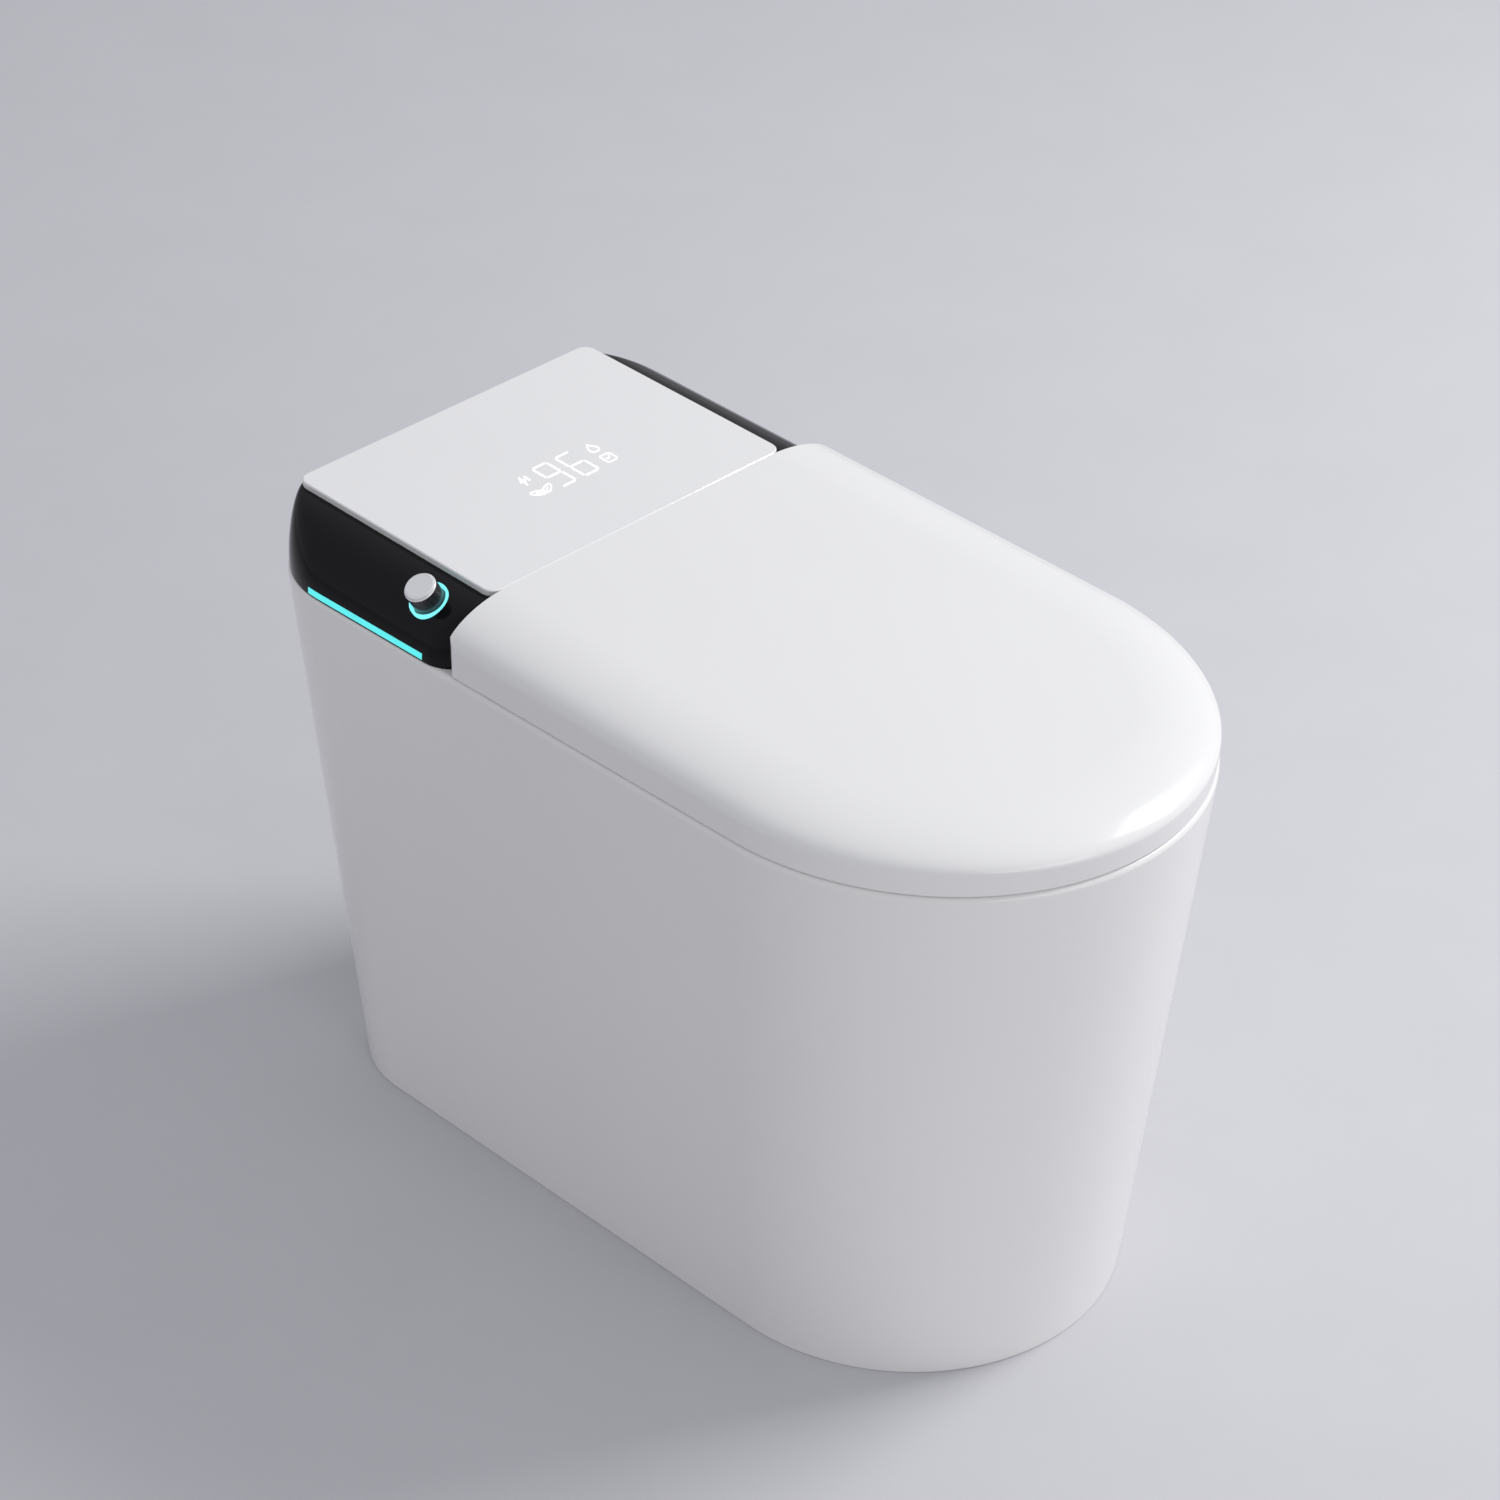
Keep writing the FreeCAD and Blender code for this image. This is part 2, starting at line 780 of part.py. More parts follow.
def service_space():
    """The arched opening low in the rear wall, for the supply and the lead."""
    half = size("service_half_width")
    rear = size("rear_face")
    depth = 3 * size("ceramic_wall") + size("rear_face") - size("base_rear_face")
    flat = block((-half, half), (rear - depth, rear), (size("service_bottom"), size("service_top")))
    return flat.fuse(rod_shape(half, (0, rear - depth, size("service_top")), depth, (0, 1, 0)))


def bolt_places():
    lines = (size("bolt_front"), size("bolt_rear"))
    return [(side * size("bolt_place"), line) for _, side in SIDES for line in lines]


def make_ceramic():
    piece("ceramic_skirt", shaped("skirt", skirt_shape()))
    piece("ceramic_deck", shaped("deck", deck_shape()))
    piece("ceramic_bowl", shaped("bowl", bowl_shape()))
    piece("ceramic_channel", shaped("channel", channel_shape()))
    piece("ceramic_trapway", shaped("trapway", trapway_shape()))
    drain = "rear_face - drain_setback"
    outer = rod("seal_outer", "seal_radius", "seal_height - 0.5", ("0", drain, "0.5"))
    inner = rod("seal_inner", "drain_radius", "seal_height + 1", ("0", drain, "0"))
    piece("drain_seal", cut("seal", outer, inner))


# housing, panel and display -----------------------------------------------------------


def front_face():
    """The plane of the housing's front wall, just behind the lid's seam."""
    return size("seam_place") + size("housing_step")


def housing_solid(inset):
    """The glossy rear cover: a quarter-ellipse shoulder from the deck to the panel."""
    deck = size("rim_height")
    top = size("panel_front_top") - size("panel_thickness") - size("panel_bed") - inset
    foot_half = size("rim_half_width") - size("housing_inset") - inset
    rear_foot = size("rear_face") - size("housing_inset") - inset
    rear_top = size("seam_place") + size("panel_length") - inset
    rear_round = size("rim_rear_round") - size("housing_inset") - inset
    front_round = size("housing_front_round") - inset
    front = size("housing_front") if inset == 0 else front_face() + inset
    foot = deck if inset == 0 else deck - 1
    wires = []
    for angle in quarter_steps(7):
        share = 1 - math.cos(angle)
        rise = math.sin(angle)
        half = mix(foot_half, size("panel_half_width") - inset, share)
        rear = mix(rear_foot, rear_top, share)
        wire = rounded_box_wire(half, front, rear, mix(front_round, size("housing_front_round_top"), share),
                                mix(rear_round, size("panel_corner"), share))
        wires.append(sloped(wire, mix(foot, top, rise), size("panel_slope") * rise))
    return Part.makeLoft(wires, True, False)


def knob_turn():
    return FreeCAD.Rotation(VECTOR(0, 1, 0), -size("knob_lean"))


def knob_base():
    """The point of the shoulder that the knob stands on."""
    reach = size("rim_half_width") - size("housing_inset") - size("panel_half_width")
    along = (size("knob_place") - size("panel_half_width")) / reach
    under_panel = size("panel_front_top") - size("panel_thickness")
    under_panel += size("panel_slope") * (size("knob_line") - size("seam_place"))
    rise = under_panel - size("rim_height")
    z = size("rim_height") + rise * math.sqrt(1 - along * along)
    return VECTOR(-size("knob_place"), size("knob_line"), z)


def knob_hole():
    direction = knob_turn().multVec(VECTOR(0, 0, 1))
    start = knob_base() - direction * (size("ring_depth") + size("encoder_height") + 1)
    return Part.makeCylinder(size("ring_outer"), 20.0, start, direction)


def bar_zone():
    deck = size("rim_height") + size("bar_bottom")
    half = size("rim_half_width")
    z = (deck, deck + size("bar_height"))
    return block((-half, -size("panel_half_width")), (size("bar_front"), size("bar_rear")), z)


def arm_slots():
    """Slots in the front wall and roof for the four hinge arms."""
    side_gap = size("arm_slot_side")
    slots = []
    for near in (size("seat_arm_near"), size("lid_arm_near")):
        for _, side in SIDES:
            low, high = sorted((side * (near - side_gap), side * (near + size("arm_width") + side_gap)))
            slots.append(block((low, high), (size("housing_front") - 1, size("slot_rear")),
                               (size("rim_height") - 1, size("rim_height") + 60)))
    return slots


def housing_shapes():
    """The cover with its openings, and the light bar cut out of its lower edge."""
    raw = housing_solid(0.0).cut(housing_solid(size("housing_wall")))
    bar = raw.common(bar_zone())
    front = front_face()
    deck = size("rim_height")
    apron_top = deck + size("apron_height")
    half = size("guide_half_width") + 2 * size("arm_slot_side")
    tools = [bar_zone(), knob_hole()] + arm_slots()
    tools.append(block((-WIDE, WIDE), (0, front), (apron_top, deck + WIDE)))
    tools.append(block((-half, half), (0, front + 10), (deck - 1, deck + 12)))
    pocket_x = (size("duct_left") - 5, size("duct_right") + 5)
    tools.append(block(pocket_x, (0, front + 10), (deck - 1, deck + 3)))
    window_x = (size("window_left"), size("window_right"))
    window_y = (size("window_front"), size("window_rear"))
    tools.append(block(window_x, window_y, (apron_top, deck + WIDE)))
    shell = raw
    for tool in tools:
        shell = shell.cut(tool)
    return shell, bar


def make_panel():
    body = new_body("panel")
    sketch = rectangle_sketch(body, "panel_plan", "2 * panel_half_width", "panel_length - seam_gap / 2")
    plate = pad(body, sketch, "panel_thickness", down=True)
    corners = dress(body, "Fillet", plate, "panel_corner", is_upright)
    dress(body, "Chamfer", corners, "panel_chamfer", lambda edge: edge.BoundBox.ZMin > -0.01)
    on_panel(body, "panel_length / 2 + seam_gap / 4")
    piece("glass_top_panel", body)


def segment(name, x, line, upright):
    """One lit bar of a digit, centred at a point of the panel."""
    length = "digit_width - digit_gap * 2"
    if upright:
        length = "digit_height / 2 - digit_stroke / 2 - digit_gap * 2"
    item = doc.addObject("Part::Box", name)
    sizes = ("digit_stroke", length) if upright else (length, "digit_stroke")
    item.setExpression("Length", formula(sizes[0]))
    item.setExpression("Width", formula(sizes[1]))
    item.setExpression("Height", formula("print_thickness"))
    return on_panel(item, f"{line} - seam_place - ({sizes[1]}) / 2", "0", f"{x} - ({sizes[0]}) / 2")


def make_digits():
    """Two seven-bar digits, nine and six, printed on the glass."""
    bars = {
        "top": ("0", "digit_height / 2", False), "middle": ("0", "0", False),
        "bottom": ("0", "-digit_height / 2", False),
        "upper_left": ("-digit_width / 2", "digit_height / 4", True),
        "upper_right": ("digit_width / 2", "digit_height / 4", True),
        "lower_left": ("-digit_width / 2", "-digit_height / 4", True),
        "lower_right": ("digit_width / 2", "-digit_height / 4", True),
    }
    lit = (("nine", "-digit_pitch / 2", set(bars) - {"lower_left"}),
           ("six", "digit_pitch / 2", set(bars) - {"upper_right"}))
    items = []
    for digit, shift, names in lit:
        for name in sorted(names):
            x, line, upright = bars[name]
            items.append(segment(f"{digit}_{name}", f"digits_middle + ({shift}) + ({x})",
                                 f"digits_line + ({line})", upright))
    group = doc.addObject("Part::Compound", "digits")
    group.Links = items
    piece("display_digits", group)


def polygon_slab(points, height):
    wire = Part.makePolygon([VECTOR(x, y, 0) for x, y in points] + [VECTOR(*points[0], 0)])
    return slab(wire, height)


def symbol_shapes():
    """Four plain symbols: a flash, a pair of leaves, a drop and a framed dot."""
    thick = size("print_thickness")
    flash = polygon_slab([(1, 6.5), (-5, -1), (-0.5, -1), (-2, -6.5), (5, 1.5), (0.5, 1.5)], thick)
    leaves = None
    for angle in (55.0, 160.0):
        leaf = slab(Part.Wire([ellipse_arc(0, 6.0, 3.2, 0, 2 * math.pi, 0)]), thick)
        leaf.translate(VECTOR(5.5, 0, 0))
        leaf.rotate(VECTOR(), VECTOR(0, 0, 1), angle)
        leaf.translate(VECTOR(1.5, -4, 0))
        leaves = leaf if leaves is None else leaves.fuse(leaf)
    outer = Part.makeCylinder(4.6, thick, VECTOR(0, -1.8, 0))
    drop = outer.fuse(polygon_slab([(-4.1, 0.3), (0, 6.8), (4.1, 0.3)], thick))
    drop = drop.cut(Part.makeCylinder(3.0, 3 * thick, VECTOR(0, -1.8, -thick)))
    frame = slab(rounded_box_wire(5.4, -6.2, 6.2, 3, 3), thick)
    frame = frame.cut(slab(rounded_box_wire(3.6, -4.4, 4.4, 1.5, 1.5, -thick), 3 * thick))
    frame = Part.makeCompound([frame, Part.makeCylinder(1.6, thick)])
    places = ((flash, "symbol_left", "symbol_upper"), (leaves, "symbol_left", "symbol_lower"),
              (drop, "symbol_right", "symbol_upper"), (frame, "symbol_right", "symbol_lower"))
    solids = []
    for shape, column, line in places:
        shape.translate(VECTOR(size(column), size(line) - size("seam_place"), 0))
        solids += shape.Solids
    return Part.makeCompound(solids)


def make_display():
    make_digits()
    symbols = shaped("symbols", symbol_shapes())
    on_panel(symbols)
    piece("display_symbols", symbols)
    body = new_body("module")
    sketch = rectangle_sketch(body, "module_plan", "window_right - window_left - 2 * window_fit",
                              "window_rear - window_front - 4 * window_fit")
    pad(body, sketch, "module_thickness", down=True)
    on_panel(body, "(window_front + window_rear) / 2 - seam_place", "panel_thickness + 0.02",
             "(window_left + window_right) / 2")
    piece("display_module", body)


def make_housing():
    shell, bar = housing_shapes()
    piece("rear_housing", shaped("housing", shell))
    piece("light_bar", shaped("bar", bar))
    reach = "rim_half_width - housing_inset - housing_wall"
    board = box("bar_board", (f"-({reach}) + 0.7", f"-({reach}) + 0.7 + board_thickness"),
                ("bar_front + 3", "bar_rear - 12"),
                ("rim_height + window_fit", "rim_height + bar_bottom + bar_height"))
    piece("light_bar_board", board)


# knob ---------------------------------------------------------------------------------


def on_knob(item):
    item.Placement = FreeCAD.Placement(knob_base(), knob_turn())
    return item


def make_knob():
    ring = new_body("ring")
    sketch = lift(circle_sketch(ring, "ring_plan", "ring_outer", "ring_inner"), "-ring_depth")
    pad(ring, sketch, "ring_depth + ring_top")
    piece("knob_light_ring", on_knob(ring))

    encoder = new_body("encoder")
    sketch = lift(circle_sketch(encoder, "encoder_plan", "ring_outer", "spindle_radius + running_fit"),
                  "-ring_depth")
    pad(encoder, sketch, "encoder_height", down=True)
    piece("knob_encoder", on_knob(encoder))

    knob = new_body("knob")
    pad(knob, lift(circle_sketch(knob, "knob_plan", "knob_radius"), "knob_foot"), "knob_height")
    spindle = lift(circle_sketch(knob, "spindle_plan", "spindle_radius"), "knob_foot")
    pad(knob, spindle, "spindle_length", down=True)
    cap_seat = "cap_thickness - cap_proud + cap_travel + cap_float"
    top = "knob_foot + knob_height"
    pocket(knob, lift(circle_sketch(knob, "seat_plan", "cap_radius + cap_fit"), top), cap_seat)
    stem_hole = lift(circle_sketch(knob, "stem_hole", "stem_radius + running_fit"), top)
    pocket(knob, stem_hole, "knob_height - stem_end + cap_travel")
    piece("knob_body", on_knob(knob))

    cap = new_body("cap")
    face = lift(circle_sketch(cap, "cap_plan", "cap_radius"), "knob_foot + knob_height + cap_proud")
    pad(cap, face, "cap_thickness", down=True)
    stem = lift(circle_sketch(cap, "stem_plan", "stem_radius"), "knob_foot + knob_height + cap_proud")
    pad(cap, stem, "knob_height - stem_end", down=True)
    piece("knob_cap", on_knob(cap))


# lid ----------------------------------------------------------------------------------


def hinge_point():
    return VECTOR(0, size("seam_place") + size("hinge_setback"), size("panel_front_top") - size("hinge_drop"))


def lid_form(inset, drop, low):
    """The lid's outside, or the space inside it, down to a low level."""
    rear = size("seam_place") + size("lid_overrun")
    top = size("panel_front_top") - drop
    slope = size("panel_slope")
    half = size("lid_half_width") + size("lid_flare") - inset
    nose = size("lid_nose_depth") + size("lid_flare") - inset
    start = size("rim_nose_start")
    length = size("seam_place") - start + nose
    lean = (size("crown_rear_height") - size("crown_front_height")) / length
    wires = []
    for angle in quarter_steps(6):
        inwards = size("crown_width") * (1 - math.cos(angle))
        fall = 1 - math.sin(angle)
        wire = plan(half - inwards, nose - inwards, start, rear)
        wires.append(sloped(wire, top - size("crown_rear_height") * fall, slope - lean * fall))
    crown = Part.makeLoft(wires, True, False)
    flare = size("lid_flare")
    foot = sloped(plan(half - flare, nose - flare, start, rear), low - 12, 0.0)
    return crown.fuse(Part.makeLoft([foot, wires[0]], True, True))


def lid_shape():
    bottom = size("rim_height") + size("lid_gap")
    seam = size("seam_place") - size("seam_gap") / 2
    outside = lid_form(0.0, 0.0, bottom)
    limit = plan(size("lid_half_width") + size("lid_flare"), WIDE, size("rim_nose_start"), seam,
                 size("lid_corner"), bottom)
    outside = outside.common(slab(limit, WIDE))
    wall = size("lid_wall")
    inside = lid_form(wall, wall, bottom)
    reach = seam - size("lid_rear_wall")
    inside = inside.common(block((-WIDE, WIDE), (-WIDE, reach), (0, 2 * WIDE)))
    lid = outside.cut(inside)
    hinge = hinge_point()
    radius = math.hypot(size("hinge_setback") + size("seam_gap") / 2, size("hinge_drop"))
    lid = lid.cut(rod_shape(radius, (-WIDE, hinge.y, hinge.z), 2 * WIDE, (1, 0, 0)))
    open_half = size("lid_arm_near") + size("arm_width") + 6
    lip = size("panel_front_top") - size("lip_height")
    lid = lid.cut(block((-open_half, open_half), (reach - 6, seam + 5), (bottom - 5, lip)))
    relief = size("flange_relief_half")
    return lid.cut(block((-relief, relief), (reach - 6, seam + 5), (bottom - 5, size("flange_relief"))))


def make_lid():
    piece("lid_shell", shaped("lid", lid_shape()))
    inset = size("liner_inset")
    half = size("lid_half_width") + size("lid_flare") - inset
    nose = size("lid_nose_depth") + size("lid_flare") - inset
    wire = plan(half, nose, size("rim_nose_start") - size("seam_place"), -10.0, 8.0, -size("liner_thickness"))
    liner = shaped("liner", slab(wire, size("liner_thickness")))
    on_panel(liner, "0", "lid_wall + 0.02")
    piece("lid_liner", liner)
    ceiling = "panel_front_top - lid_wall - liner_thickness - 0.04 + panel_slope * ({line} - seam_place - 12)"
    bumpers = []
    seat_top = "rim_height + seat_gap + seat_thickness + bumper_fit"
    for label, side in SIDES:
        for line in ("lid_bumper_front", "lid_bumper_rear"):
            top = ceiling.format(line=line)
            x = "lid_bumper_place" if side > 0 else "-lid_bumper_place"
            height = f"{top} - ({seat_top})"
            bumpers.append(rod(f"{line}_{label}", "bumper_radius", height, (x, line, seat_top)))
    group = doc.addObject("Part::Compound", "lid_bumper_group")
    group.Links = bumpers
    piece("lid_bumpers", group)


# seat ---------------------------------------------------------------------------------


def seat_outline(inset, z):
    return plan(size("seat_half_width") - inset, size("seat_nose_depth") - inset, size("rim_nose_start"),
                size("seat_rear") - inset, size("seat_rear_round") - inset, z)


def seat_hole(grow, z, height):
    wire = Part.Wire([ellipse_arc(size("hole_middle"), size("hole_half_width") + grow,
                                  size("hole_half_length") + grow, 0, 2 * math.pi, z)])
    return slab(wire, height)


def seat_ring(inset, z, height):
    return slab(seat_outline(inset, z), height).cut(seat_hole(inset, z - 1, height + 2))


def seat_level():
    return size("rim_height") + size("seat_gap")


def seat_top_shape():
    low = seat_level() + size("pan_thickness")
    height = size("seat_thickness") - size("pan_thickness")
    ring = seat_ring(0.0, low, height)
    edges = [edge for edge in ring.Edges if edge.BoundBox.ZMin > low + height - 0.01]
    ring = ring.makeFillet(size("seat_edge_round"), edges)
    return ring.cut(seat_ring(size("mat_margin"), low - 1, size("mat_thickness") + 1))


def seat_pan_shape():
    ring = seat_ring(0.0, seat_level(), size("pan_thickness"))
    edges = [edge for edge in ring.Edges if edge.BoundBox.ZMax < seat_level() + 0.01]
    ring = ring.makeFillet(size("seat_gap") / 2, edges)
    for _, side in SIDES:
        near = size("seat_arm_near") - size("bumper_fit")
        far = size("seat_arm_near") + size("arm_width") + size("bumper_fit")
        low, high = sorted((side * near, side * far))
        front = hinge_point().y - size("tab_length") - size("bumper_fit")
        ring = ring.cut(block((low, high), (front, WIDE), (seat_level() - 1, seat_tab_top())))
    return ring


def seat_tab_top():
    return seat_level() + size("tab_thickness") + 0.5


def make_seat():
    piece("seat_top_shell", shaped("seat_top", seat_top_shape()))
    piece("seat_base_pan", shaped("seat_pan", seat_pan_shape()))
    mat_low = seat_level() + size("pan_thickness")
    mat = seat_ring(size("mat_margin") + 0.5, mat_low, size("mat_thickness"))
    piece("seat_heater_mat", shaped("mat", mat))
    bumpers = []
    for label, side in SIDES:
        for line in ("seat_bumper_front", "seat_bumper_rear"):
            x = "seat_bumper_place" if side > 0 else "-seat_bumper_place"
            bumpers.append(rod(f"{line}_{label}", "bumper_radius", "seat_gap - bumper_fit",
                               (x, line, "rim_height + bumper_fit")))
    group = doc.addObject("Part::Compound", "seat_bumper_group")
    group.Links = bumpers
    piece("seat_bumpers", group)


# hinge arms, shafts, brackets and drives ----------------------------------------------

HINGE_LINE = "seam_place + hinge_setback"
HINGE_HEIGHT = "panel_front_top - hinge_drop"


def arm(name, side, near, hook_top, tab_front, tab_low, tab_slope):
    """A goose-neck arm: an eye on the shaft, a leg down, a hook forward and a tab."""
    x = across(side, near, near + " + arm_width")
    eye = rod_x(name + "_eye", "eye_radius", *x, "0", "0")
    leg = box(name + "_leg", x, ("0", "leg_width"), ("0", "(hook_inner + hook_outer) / 2"))
    turn = FreeCAD.Rotation(VECTOR(1, 0, 0), 180 + size("hook_lean"))
    middle = turn.multVec(VECTOR(0, size("leg_width") / 2, 0))
    leg.Placement = FreeCAD.Placement(VECTOR(0, -middle.y, -middle.z), turn)
    leg.setExpression("Placement.Base.x", formula(x[0]))
    wheel = rod_x(name + "_rim", "hook_outer", *x, "0", "0")
    core = rod_x(name + "_core", "hook_inner", f"({x[0]}) - 1", f"({x[1]}) + 1", "0", "0")
    sector = box(name + "_sector", x, ("-hook_outer - 1", "leg_width"), ("-hook_outer - 1", hook_top))
    hook = common(name + "_hook", cut(name + "_hoop", wheel, core), sector)
    tab = box(name + "_tab", x, ("0", f"({tab_front}) - hook_inner + 2"), ("0", "tab_thickness"))
    place(tab, (x[0], f"-({tab_front})", tab_low), (1, 0, 0), tab_slope)
    bore = rod_x(name + "_bore", "shaft_radius + running_fit", f"({x[0]}) - 1", f"({x[1]}) + 1", "0", "0")
    whole = cut(name, fuse(name + "_solid", eye, leg, hook, tab), bore)
    return place(whole, ("0", HINGE_LINE, HINGE_HEIGHT))


def make_arms():
    lid_low = "hinge_drop - lid_wall - liner_thickness - 0.04 - tab_thickness - 0.03"
    lid_low += " - panel_slope * (tab_length - hinge_setback)"
    seat_low = "rim_height + seat_gap + 0.5 - (panel_front_top - hinge_drop)"
    for label, side in SIDES:
        lid = arm(f"lid_hook_{label}", side, "lid_arm_near", "hinge_drop - lid_wall - liner_thickness - 1.1",
                  "tab_length", lid_low, tilt_angle())
        piece(f"lid_arm_{label}", lid)
        seat = arm(f"seat_hook_{label}", side, "seat_arm_near", f"{seat_low} + tab_thickness", "tab_length",
                   seat_low, 0.0)
        piece(f"seat_arm_{label}", seat)


def make_hinge_supports():
    top = f"{HINGE_HEIGHT} + eye_radius - 0.2"
    for label, side in SIDES:
        x = across(side, "ear_near", "ear_near + ear_width")
        ear = box(f"ear_block_{label}", x, (f"{HINGE_LINE} - eye_radius", "ear_rear"), (ON_CHASSIS, top))
        hole = rod_x(f"ear_hole_{label}", "shaft_radius", f"({x[0]}) - 1", f"({x[1]}) + 1",
                     HINGE_LINE, HINGE_HEIGHT)
        piece(f"hinge_bracket_{label}", cut(f"ear_{label}", ear, hole))

        x = across(side, "drive_far", "shaft_far")
        shaft = rod_x(f"shaft_core_{label}", "shaft_radius", *x, HINGE_LINE, HINGE_HEIGHT)
        x = across(side, "ear_near + ear_width", "shaft_far")
        head = rod_x(f"shaft_head_{label}", "shaft_radius + 1.5", *x, HINGE_LINE, HINGE_HEIGHT)
        piece(f"hinge_shaft_{label}", fuse(f"shaft_{label}", shaft, head))

        x = across(side, "drive_near", "drive_far")
        case = box(f"drive_case_{label}", x, (f"{HINGE_LINE} - drive_reach", "ear_rear"),
                   (f"{HINGE_HEIGHT} - drive_drop", top))
        x = across(side, "drive_foot", "drive_far")
        foot = box(f"drive_leg_{label}", x, ("chassis_front + 2", "ear_rear"),
                   (ON_CHASSIS, f"{HINGE_HEIGHT} - drive_drop + 0.5"))
        name = "seat_drive_unit" if side < 0 else "lid_drive_unit"
        piece(name, fuse(f"drive_{label}", case, foot))


def make_chassis():
    deck = size("rim_height")
    inset = size("chassis_inset")
    half = size("rim_half_width") - inset
    wire = rounded_box_wire(half, size("chassis_front"), size("rear_face") - inset, 3.0,
                            size("rim_rear_round") - inset, deck)
    plate = slab(wire, size("chassis_thickness"))
    slot = size("guide_half_width") + 2 * size("arm_slot_side")
    plate = plate.cut(block((-slot, slot), (100, size("guide_foot_front") - 5), (deck - 1, deck + 10)))
    plate = plate.cut(rod_shape(2 * size("fan_shaft_radius"), (size("fan_place"), size("fan_line"), deck - 1),
                                10, (0, 0, 1)))
    for x, y in bolt_places():
        plate = plate.cut(rod_shape(size("bolt_radius") + size("bolt_fit"), (x, y, deck - 1), 10, (0, 0, 1)))
    piece("chassis_plate", shaped("chassis", plate))
    bolts = []
    for label, side in SIDES:
        for line in ("bolt_front", "bolt_rear"):
            x = "bolt_place" if side > 0 else "-bolt_place"
            head = rod(f"{line}_head_{label}", "bolt_head_radius", "bolt_head_height", (x, line, ON_CHASSIS))
            shank = rod(f"{line}_shank_{label}", "bolt_radius", "bolt_length + chassis_thickness",
                        (x, line, "rim_height - bolt_length"))
            bolts.append(fuse(f"{line}_{label}_screw", head, shank))
    group = doc.addObject("Part::Compound", "bolt_group")
    group.Links = bolts
    piece("chassis_bolts", group)


# wash nozzles -------------------------------------------------------------------------


def on_slope(item):
    """Nozzle pieces are drawn level, along Y, and then laid on their slope."""
    return place(item, ("0", "nozzle_front", "nozzle_height"), (1, 0, 0), size("nozzle_tilt"))


def rod_y(name, radius, low, high, x, z):
    """A cylinder along Y between two formulas."""
    return rod(name, radius, f"({high}) - ({low})", (x, high, z), (1, 0, 0), 90)


def make_nozzles():
    case = box("guide_case", ("-guide_half_width", "guide_half_width"), ("-2", "guide_length - 2"),
               ("-guide_half_height", "guide_half_height"))
    bores = []
    for label, side in SIDES:
        x = "wand_place" if side > 0 else "-wand_place"
        bores.append(rod_y(f"guide_bore_{label}", "wand_radius + wand_fit", "-3", "guide_length", x, "0"))
    body = on_slope(cut("guide_body", case, *bores))
    foot = box("guide_foot", ("-guide_half_width + 4", "guide_half_width - 4"),
               ("guide_foot_front", "guide_foot_rear"),
               (ON_CHASSIS, ON_CHASSIS + " + guide_foot_height"))
    piece("nozzle_guide", fuse("guide", body, foot))
    for (_, side), use in zip(SIDES, ("rear_wash", "front_wash")):
        x = "wand_place" if side > 0 else "-wand_place"
        end = "wand_start + wand_length"
        wand = rod_y(f"{use}_tube", "wand_radius", "wand_start", end, x, "0")
        bore = rod_y(f"{use}_bore", "wand_bore", "wand_start - 1", f"{end} + 1", x, "0")
        piece(f"{use}_nozzle", on_slope(cut(f"{use}_wand", wand, bore)))
        tip = rod_y(f"{use}_end", "wand_radius", "wand_start - tip_length", "wand_start", x, "0")
        hole = rod(f"{use}_jet", "jet_hole", "wand_radius + 2", (x, "wand_start - tip_length / 2", "0"))
        piece(f"{use}_tip", on_slope(cut(f"{use}_tip_body", tip, hole)))
    case = box("drive_case", ("-guide_half_width", "guide_half_width"),
               ("drive_box_front", "drive_box_front + drive_box_length"),
               (ON_CHASSIS, ON_CHASSIS + " + drive_box_height"))
    piece("nozzle_drive", case)


# warm-air dryer -----------------------------------------------------------------------


def ruled_duct(sections, inset):
    """A duct through rectangles, each with its X range, Z range and place along Y."""
    wires = []
    for x, z, y in sections:
        low = (x[0] + inset, z[0] + inset)
        high = (x[1] - inset, z[1] - inset)
        corners = [VECTOR(low[0], y, low[1]), VECTOR(high[0], y, low[1]), VECTOR(high[0], y, high[1]),
                   VECTOR(low[0], y, high[1])]
        wires.append(Part.makePolygon(corners + corners[:1]))
    return Part.makeLoft(wires, True, True)


def duct_shape():
    """From the fan's outlet over the chassis and down to the flap."""
    x = (size("duct_left"), size("duct_right"))
    outlet = (x[0] + 4, size("drive_foot") - 2)
    deck = size("rim_height") + size("chassis_thickness")
    face = size("duct_face")
    low = size("duct_bottom")
    upper = (deck + 0.3, deck + size("duct_height") - 1.5)
    fan_face = size("fan_line") - size("fan_radius") - 1
    sections = [(outlet, upper, fan_face), (outlet, upper, size("chassis_front") - 2),
                (x, (low, low + size("duct_height")), face)]
    duct = ruled_duct(sections, 0.0).cut(ruled_duct(sections, size("duct_wall")))
    pin = (size("flap_line"), size("flap_pin_height"))
    grip = size("flap_pin_radius") + 1.6
    for side, edge in ((-1, x[0]), (1, x[1])):
        inner, outer = edge - side * 1.0, edge + side * 2.5
        span = sorted((inner, outer))
        ear = block(span, (pin[0] - grip, face + 4), (pin[1] - 4.5, pin[1] + grip))
        duct = duct.fuse(ear)
        hole = size("flap_pin_radius") + size("running_fit")
        duct = duct.cut(rod_shape(hole, (span[0] - 1, pin[0], pin[1]), span[1] - span[0] + 2, (1, 0, 0)))
    return duct


